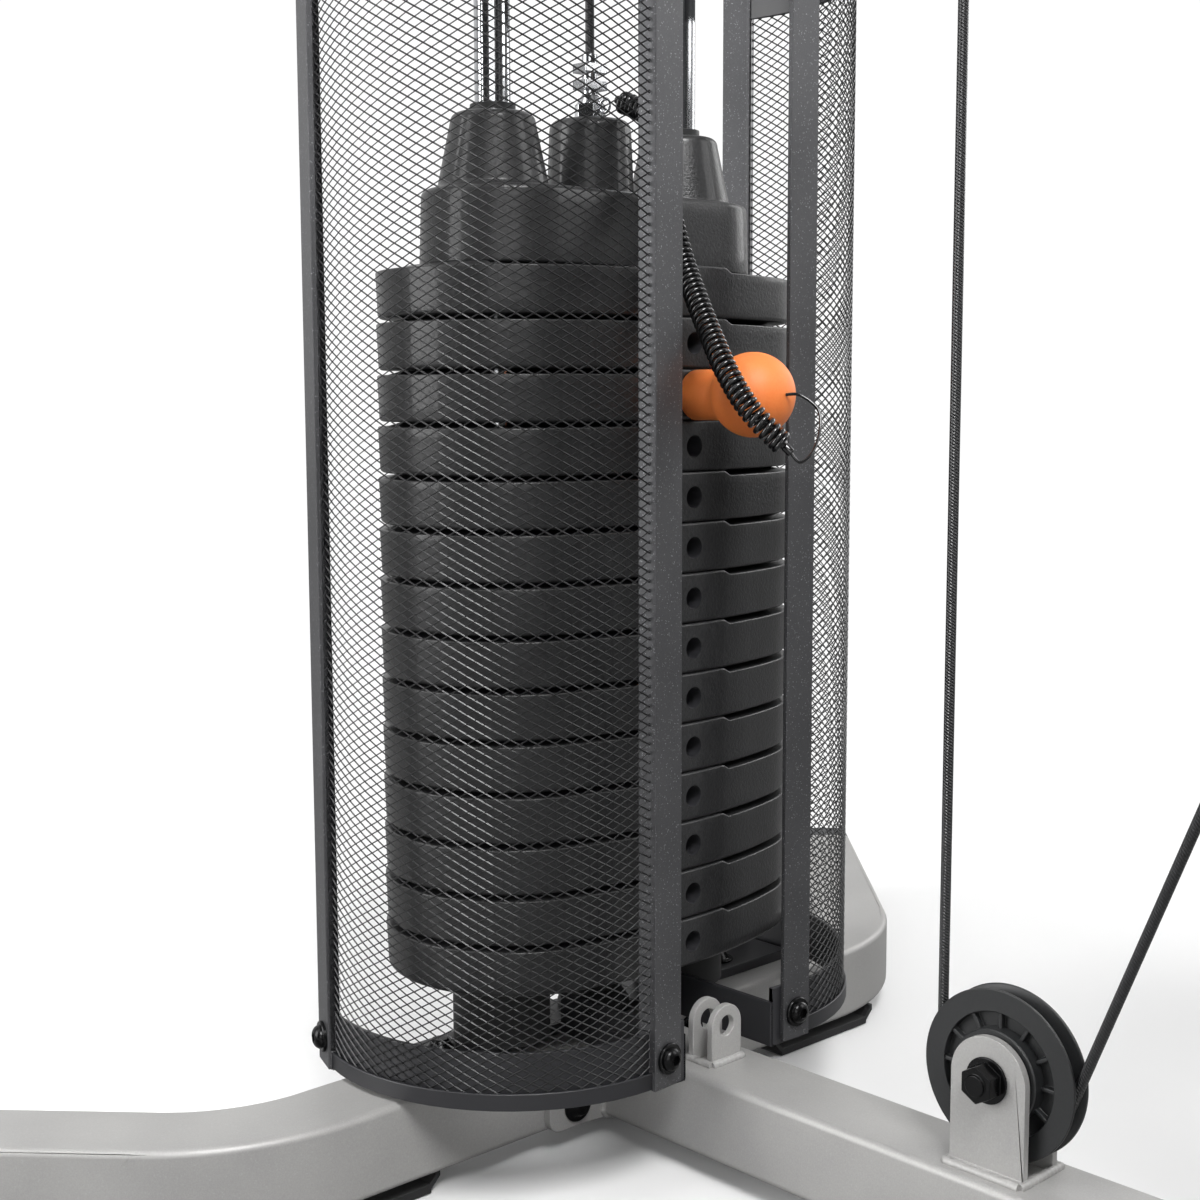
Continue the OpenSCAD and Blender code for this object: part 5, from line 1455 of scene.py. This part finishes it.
@dataclass
class Upholstery(Builder):
    """Seat pad and back pad: a board under a crowned cushion with a welt round its seam.

    A ring of the cushion is a superellipse, x = a cos^q and y = b sin^q with q = 0.34, shrunk by the
    profile's share at each height. The crown is the profile's slow rise towards the middle.
    """

    power: float = 0.34
    sides: int = 160
    thick: float = 48.0
    board: float = 12.0
    voxel: float = 5.5
    pressure: float = 4.0
    most: float = 5.0
    profile: tuple = ((0.965, 0), (0.985, 0.12), (0.992, 0.3), (0.985, 0.42), (1, 0.55), (0.995, 0.72),
                      (0.965, 0.86), (0.88, 0.945), (0.6, 0.985), (0.3, 0.998), (0.02, 1.0))
    pads: tuple = (Pad("seat_pad", (159, 176.5), (0, -982.5, 448.0)),
                   Pad("back_pad", (139, 349), (0, -730.0, 910.0), ((1, 0, 0), (0, 0, 1), (0, -1, 0))))

    def ring(self, half: tuple[float, float], share: float = 1.0) -> Points:
        """One level ring.

        Args:
            half: Half the cushion's width and length.
            share: Share of the full outline.

        Returns:
            X and Y of the ring's points.
        """
        angle = around(self.sides)
        trim = (1 - share) * min(half)
        return np.stack([(h - trim) * np.sign(v) * np.abs(v) ** self.power
                         for h, v in zip(half, (np.cos(angle), np.sin(angle)))], -1)

    def sewn(self, height: Points) -> Points:
        """Tells which heights of a cushion are held: those at the board and at the seam."""
        return (height < 14) | (np.abs(height - 37) < 1.8)

    def cushion(self, pad: Pad) -> Piece:
        """The cushion of a pad, with a fine pucker along its seam.

        Args:
            pad: The pad.

        Returns:
            The object.
        """
        knots = np.array(self.profile)
        steps = np.linspace(0, 1, len(knots))
        rows = np.stack([np.interp(np.linspace(0, 1, 61), steps, column) for column in knots.T], -1)
        for _ in range(3):
            rows[1:-1] = 0.25 * rows[:-2] + 0.5 * rows[1:-1] + 0.25 * rows[2:]
        rings = []
        for share, height in rows:
            pucker = 0.35 * np.sin(around(self.sides) * 46) * math.exp(-((height - 0.5) / 0.16) ** 2)
            flat = self.ring(pad.half, share) * (1 + pucker[:, None] / max(pad.half))
            rings.append(pad.place(flat, self.board + height * self.thick))
        faces = tube_faces(len(rings), self.sides)
        return new_piece(f"{pad.node}_cushion", np.concatenate(rings), faces, VINYL, 60)

    def build(self) -> None:
        """Makes both pads."""
        for pad in self.pads:
            cushion = self.cushion(pad)
            seam = pad.place(self.ring(pad.half, 0.994), self.board + 0.5 * self.thick)
            welt = sweep(f"{pad.node}_cushion_welt", np.concatenate([seam, seam[:1]]), 1.7, VINYL, 10, 60)
            edge = self.ring((pad.half[0] - 12, pad.half[1] - 12))
            plank = [pad.place(edge * share, height) for share, height in
                     ((0.99, 0.0), (1.0, 1.2), (1.0, self.board - 0.4), (0.99, self.board + 0.4))]
            faces = tube_faces(len(plank), self.sides)
            board = new_piece(f"{pad.node}_cushion_board", np.concatenate(plank), faces, BLACK, 40)
            swell(cushion, lambda points, pad=pad: self.sewn(pad.heights(points)), self.voxel, self.pressure,
                  self.most)
            self.keep(cushion, Body.ROOT, pad.node)
            self.keep(welt, Body.ROOT)
            self.keep(board, Body.ROOT)


@dataclass
class FoamRollers(Builder):
    """Foam sleeves on the knee and ankle rods, each a turned shape with soft rounded ends."""

    start: float = 34.0
    length: float = 150.0
    radius: float = 47.5
    bore: float = 10.3
    end_r: float = 10.0
    cap_x: float = 191.2
    cap: tuple = ((10.05, -5.0), (12, -5.0), (12.6, -4.4), (12.6, -0.8), (11.6, 0.8), (8, 1.8), (0, 2.2))

    def sleeve(self) -> Points:
        """Profile of a sleeve, slightly uneven along its length.

        Returns:
            Rows of radius and height.
        """
        e, r, n = self.end_r, self.radius, self.length
        t = np.linspace(0, np.pi / 2, 10)
        low = np.stack([r - e + e * np.sin(t), e - e * np.cos(t)], -1)
        high = np.stack([r - e + e * np.cos(t), n - e + e * np.sin(t)], -1)
        middle = [[r - 0.25 * math.sin(k * 0.9) ** 2, h]
                  for k, h in enumerate(np.linspace(e + 6, n - e - 6, 20))]
        foot = [[self.bore, 1.2], [self.bore + 6, 1.6]]
        top = [[self.bore + 6, n - 1.6], [self.bore, n - 1.2]]
        return np.concatenate([foot, low, middle, high, top, foot[:1]])

    def build(self) -> None:
        """Makes the four sleeves and the caps on their rods' ends."""
        for rod, (y, z), body in (("knee", SIZE.knee, Body.ROOT), ("ankle", SIZE.ankle, Body.LEG)):
            pair = [revolve(f"{rod}_sleeve_{s}", self.sleeve(), (s * self.start, y, z), (s, 0, 0), FOAM,
                            96, 50)
                    for s in (-1, 1)]
            both = self.keep(join(f"{rod}_foam", pair), body, f"{rod}_rollers")
            caps = [revolve("cap", self.cap, (s * self.cap_x, y, z), (s, 0, 0), CAP, 48) for s in (-1, 1)]
            self.keep(join(f"{rod}_rod_caps", caps), body)


@dataclass(frozen=True)
class Lamp:
    """An area light: places and sizes in metres, power in watts, spread in degrees."""

    name: str
    place: tuple[float, float, float]
    aim: tuple[float, float, float]
    size: tuple[float, float]
    power: float
    spread: float = 180.0

    def build(self) -> None:
        """Makes the light."""
        data = bpy.data.lights.new(self.name, "AREA")
        data.shape = "RECTANGLE"
        data.size, data.size_y = self.size
        data.energy = self.power
        data.spread = math.radians(self.spread)
        lamp = put(bpy.data.objects.new(self.name, data))
        lamp.location = self.place
        lamp.rotation_euler = (Vector(self.aim) - Vector(self.place)).to_track_quat("-Z", "Y").to_euler()


@dataclass
class Studio:
    """Camera, lights, white floor and white surroundings."""

    place: tuple[float, float, float] = (-670.05, -725.24, 414.98)
    azimuth: float = -43.0
    elevation: float = 6.66
    roll: float = -0.19
    lens: float = 52.43
    floor_half: float = 12.0
    floor_z: float = -0.0006
    lamps: tuple[Lamp, ...] = (
        Lamp("key", (-0.9, -1.7, 2.5), (-0.1, -0.1, 0.95), (1.1, 1.1), 22, 80),
        Lamp("fill", (-2.4, -2.6, 1.1), (-0.1, 0, 0.55), (2.2, 1.6), 27),
        Lamp("left", (-3.0, 1.6, 1.3), (-0.1, 0, 0.6), (1.8, 2.4), 96),
        Lamp("right", (1.9, -2.2, 1.9), (0, -0.2, 0.7), (1.3, 1.6), 24),
        Lamp("side", (2.8, -0.2, 1.4), (0.1, 0, 0.4), (1.2, 1.4), 20),
        Lamp("top", (-1.5, 0.5, 2.5), (-0.4, 0, 0), (1.6, 1.6), 16))

    def camera(self) -> None:
        """Makes the camera of the photograph's view."""
        a, e, o = map(math.radians, (self.azimuth, self.elevation, self.roll))
        back = np.array([math.sin(a) * math.cos(e), -math.cos(a) * math.cos(e), math.sin(e)])
        right = np.array([math.cos(a), math.sin(a), 0])
        up = np.cross(back, right)
        data = bpy.data.cameras.new("photo_camera")
        data.sensor_width = 36.0
        data.lens = self.lens
        data.clip_start, data.clip_end = 0.01, 60
        held = put(bpy.data.objects.new("photo_camera", data))
        matrix = np.eye(4)
        matrix[:3, 0] = right * math.cos(o) + up * math.sin(o)
        matrix[:3, 1] = up * math.cos(o) - right * math.sin(o)
        matrix[:3, 2], matrix[:3, 3] = back, np.array(self.place) * MM
        held.matrix_world = Matrix(matrix.tolist())
        bpy.context.scene.camera = held

    def world(self) -> None:
        """Makes the surroundings: white to the camera, to all else bright behind and dark before."""
        world = bpy.data.worlds.new("studio")
        bpy.context.scene.world = world
        tree = empty_tree(world)
        way = add_node(tree, "TexCoord").outputs["Generated"]
        behind = {"operation": "DOT_PRODUCT", 0: way, 1: (0.60, 0.70, 0.38)}
        toward = add_node(tree, "VectorMath", behind).outputs["Value"]
        room = mix(tree, ramp(tree, toward, -0.45, 0.8), grey(0.03), grey(0.85))
        seen = add_node(tree, "LightPath").outputs["Is Camera Ray"]
        shader = add_node(tree, "Background", {"Strength": 0.9, "Color": mix(tree, seen, room, grey(1.15))})
        add_node(tree, "OutputWorld", {"Surface": shader.outputs[0]})

    def floor(self) -> None:
        """Makes the floor: matte near the object and white far off to the camera, grey to other light."""
        made = bpy.data.materials.new("studio_floor")
        tree = empty_tree(made)
        place = add_node(tree, "TexCoord").outputs["Object"]
        far = add_node(tree, "VectorMath", {"operation": "LENGTH", 0: place}).outputs["Value"]
        fade = add_node(tree, "MapRange", {"From Min": 0.4, "From Max": 1.15, "Value": far,
                                           "interpolation_type": "SMOOTHSTEP"}).outputs[0]
        seen = add_node(tree, "LightPath").outputs["Is Camera Ray"]
        matte = add_node(tree, "BsdfPrincipled", {"Roughness": 0.6, "Specular IOR Level": 0.3,
                                                  "Base Color": mix(tree, seen, grey(0.25), grey(0.86))})
        glow = add_node(tree, "Emission", {"Color": grey(1.0), "Strength": 1.04})
        both = add_node(tree, "MixShader", {0: calc(tree, "MULTIPLY", fade, seen), 1: matte.outputs[0],
                                            2: glow.outputs[0]})
        add_node(tree, "OutputMaterial", {"Surface": both.outputs[0]})
        mesh = bpy.data.meshes.new("studio_floor")
        half, z = self.floor_half, self.floor_z
        places = [(x, y, z) for x, y in ((-half, -half), (half, -half), (half, half), (-half, half))]
        mesh.from_pydata(places, [], [(0, 1, 2, 3)])
        mesh.materials.append(made)
        put(bpy.data.objects.new("studio_floor", mesh))

    def build(self) -> None:
        """Makes the surroundings, the floor and the lights."""
        self.world()
        self.floor()
        for lamp in self.lamps:
            lamp.build()


BUILDERS: tuple[type[Builder], ...] = (
    Lanyard, Metalwork, CastStack, ShroudFrames, PulleyHubs, Screens, Fasteners, Welds, Cables, Knob,
    Upholstery, FoamRollers)


def corners(box: tuple) -> list[list[float]]:
    """Returns the lowest and highest corner as plain lists of metres."""
    return [[float(c) for c in corner] for corner in box]


def main() -> None:
    """Loads the frame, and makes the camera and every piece."""
    logging.basicConfig(level=logging.INFO, format="%(message)s")
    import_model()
    studio = Studio()
    studio.camera()
    for kind in BUILDERS:
        builder = kind()
        builder.build()
        LOG.info("%s: %d pieces", kind.__name__, len(builder.made))
    studio.build()
    view = bpy.context.scene.view_settings
    view.view_transform = "Standard"
    view.look = "None"


if __name__ == "__main__":
    main()
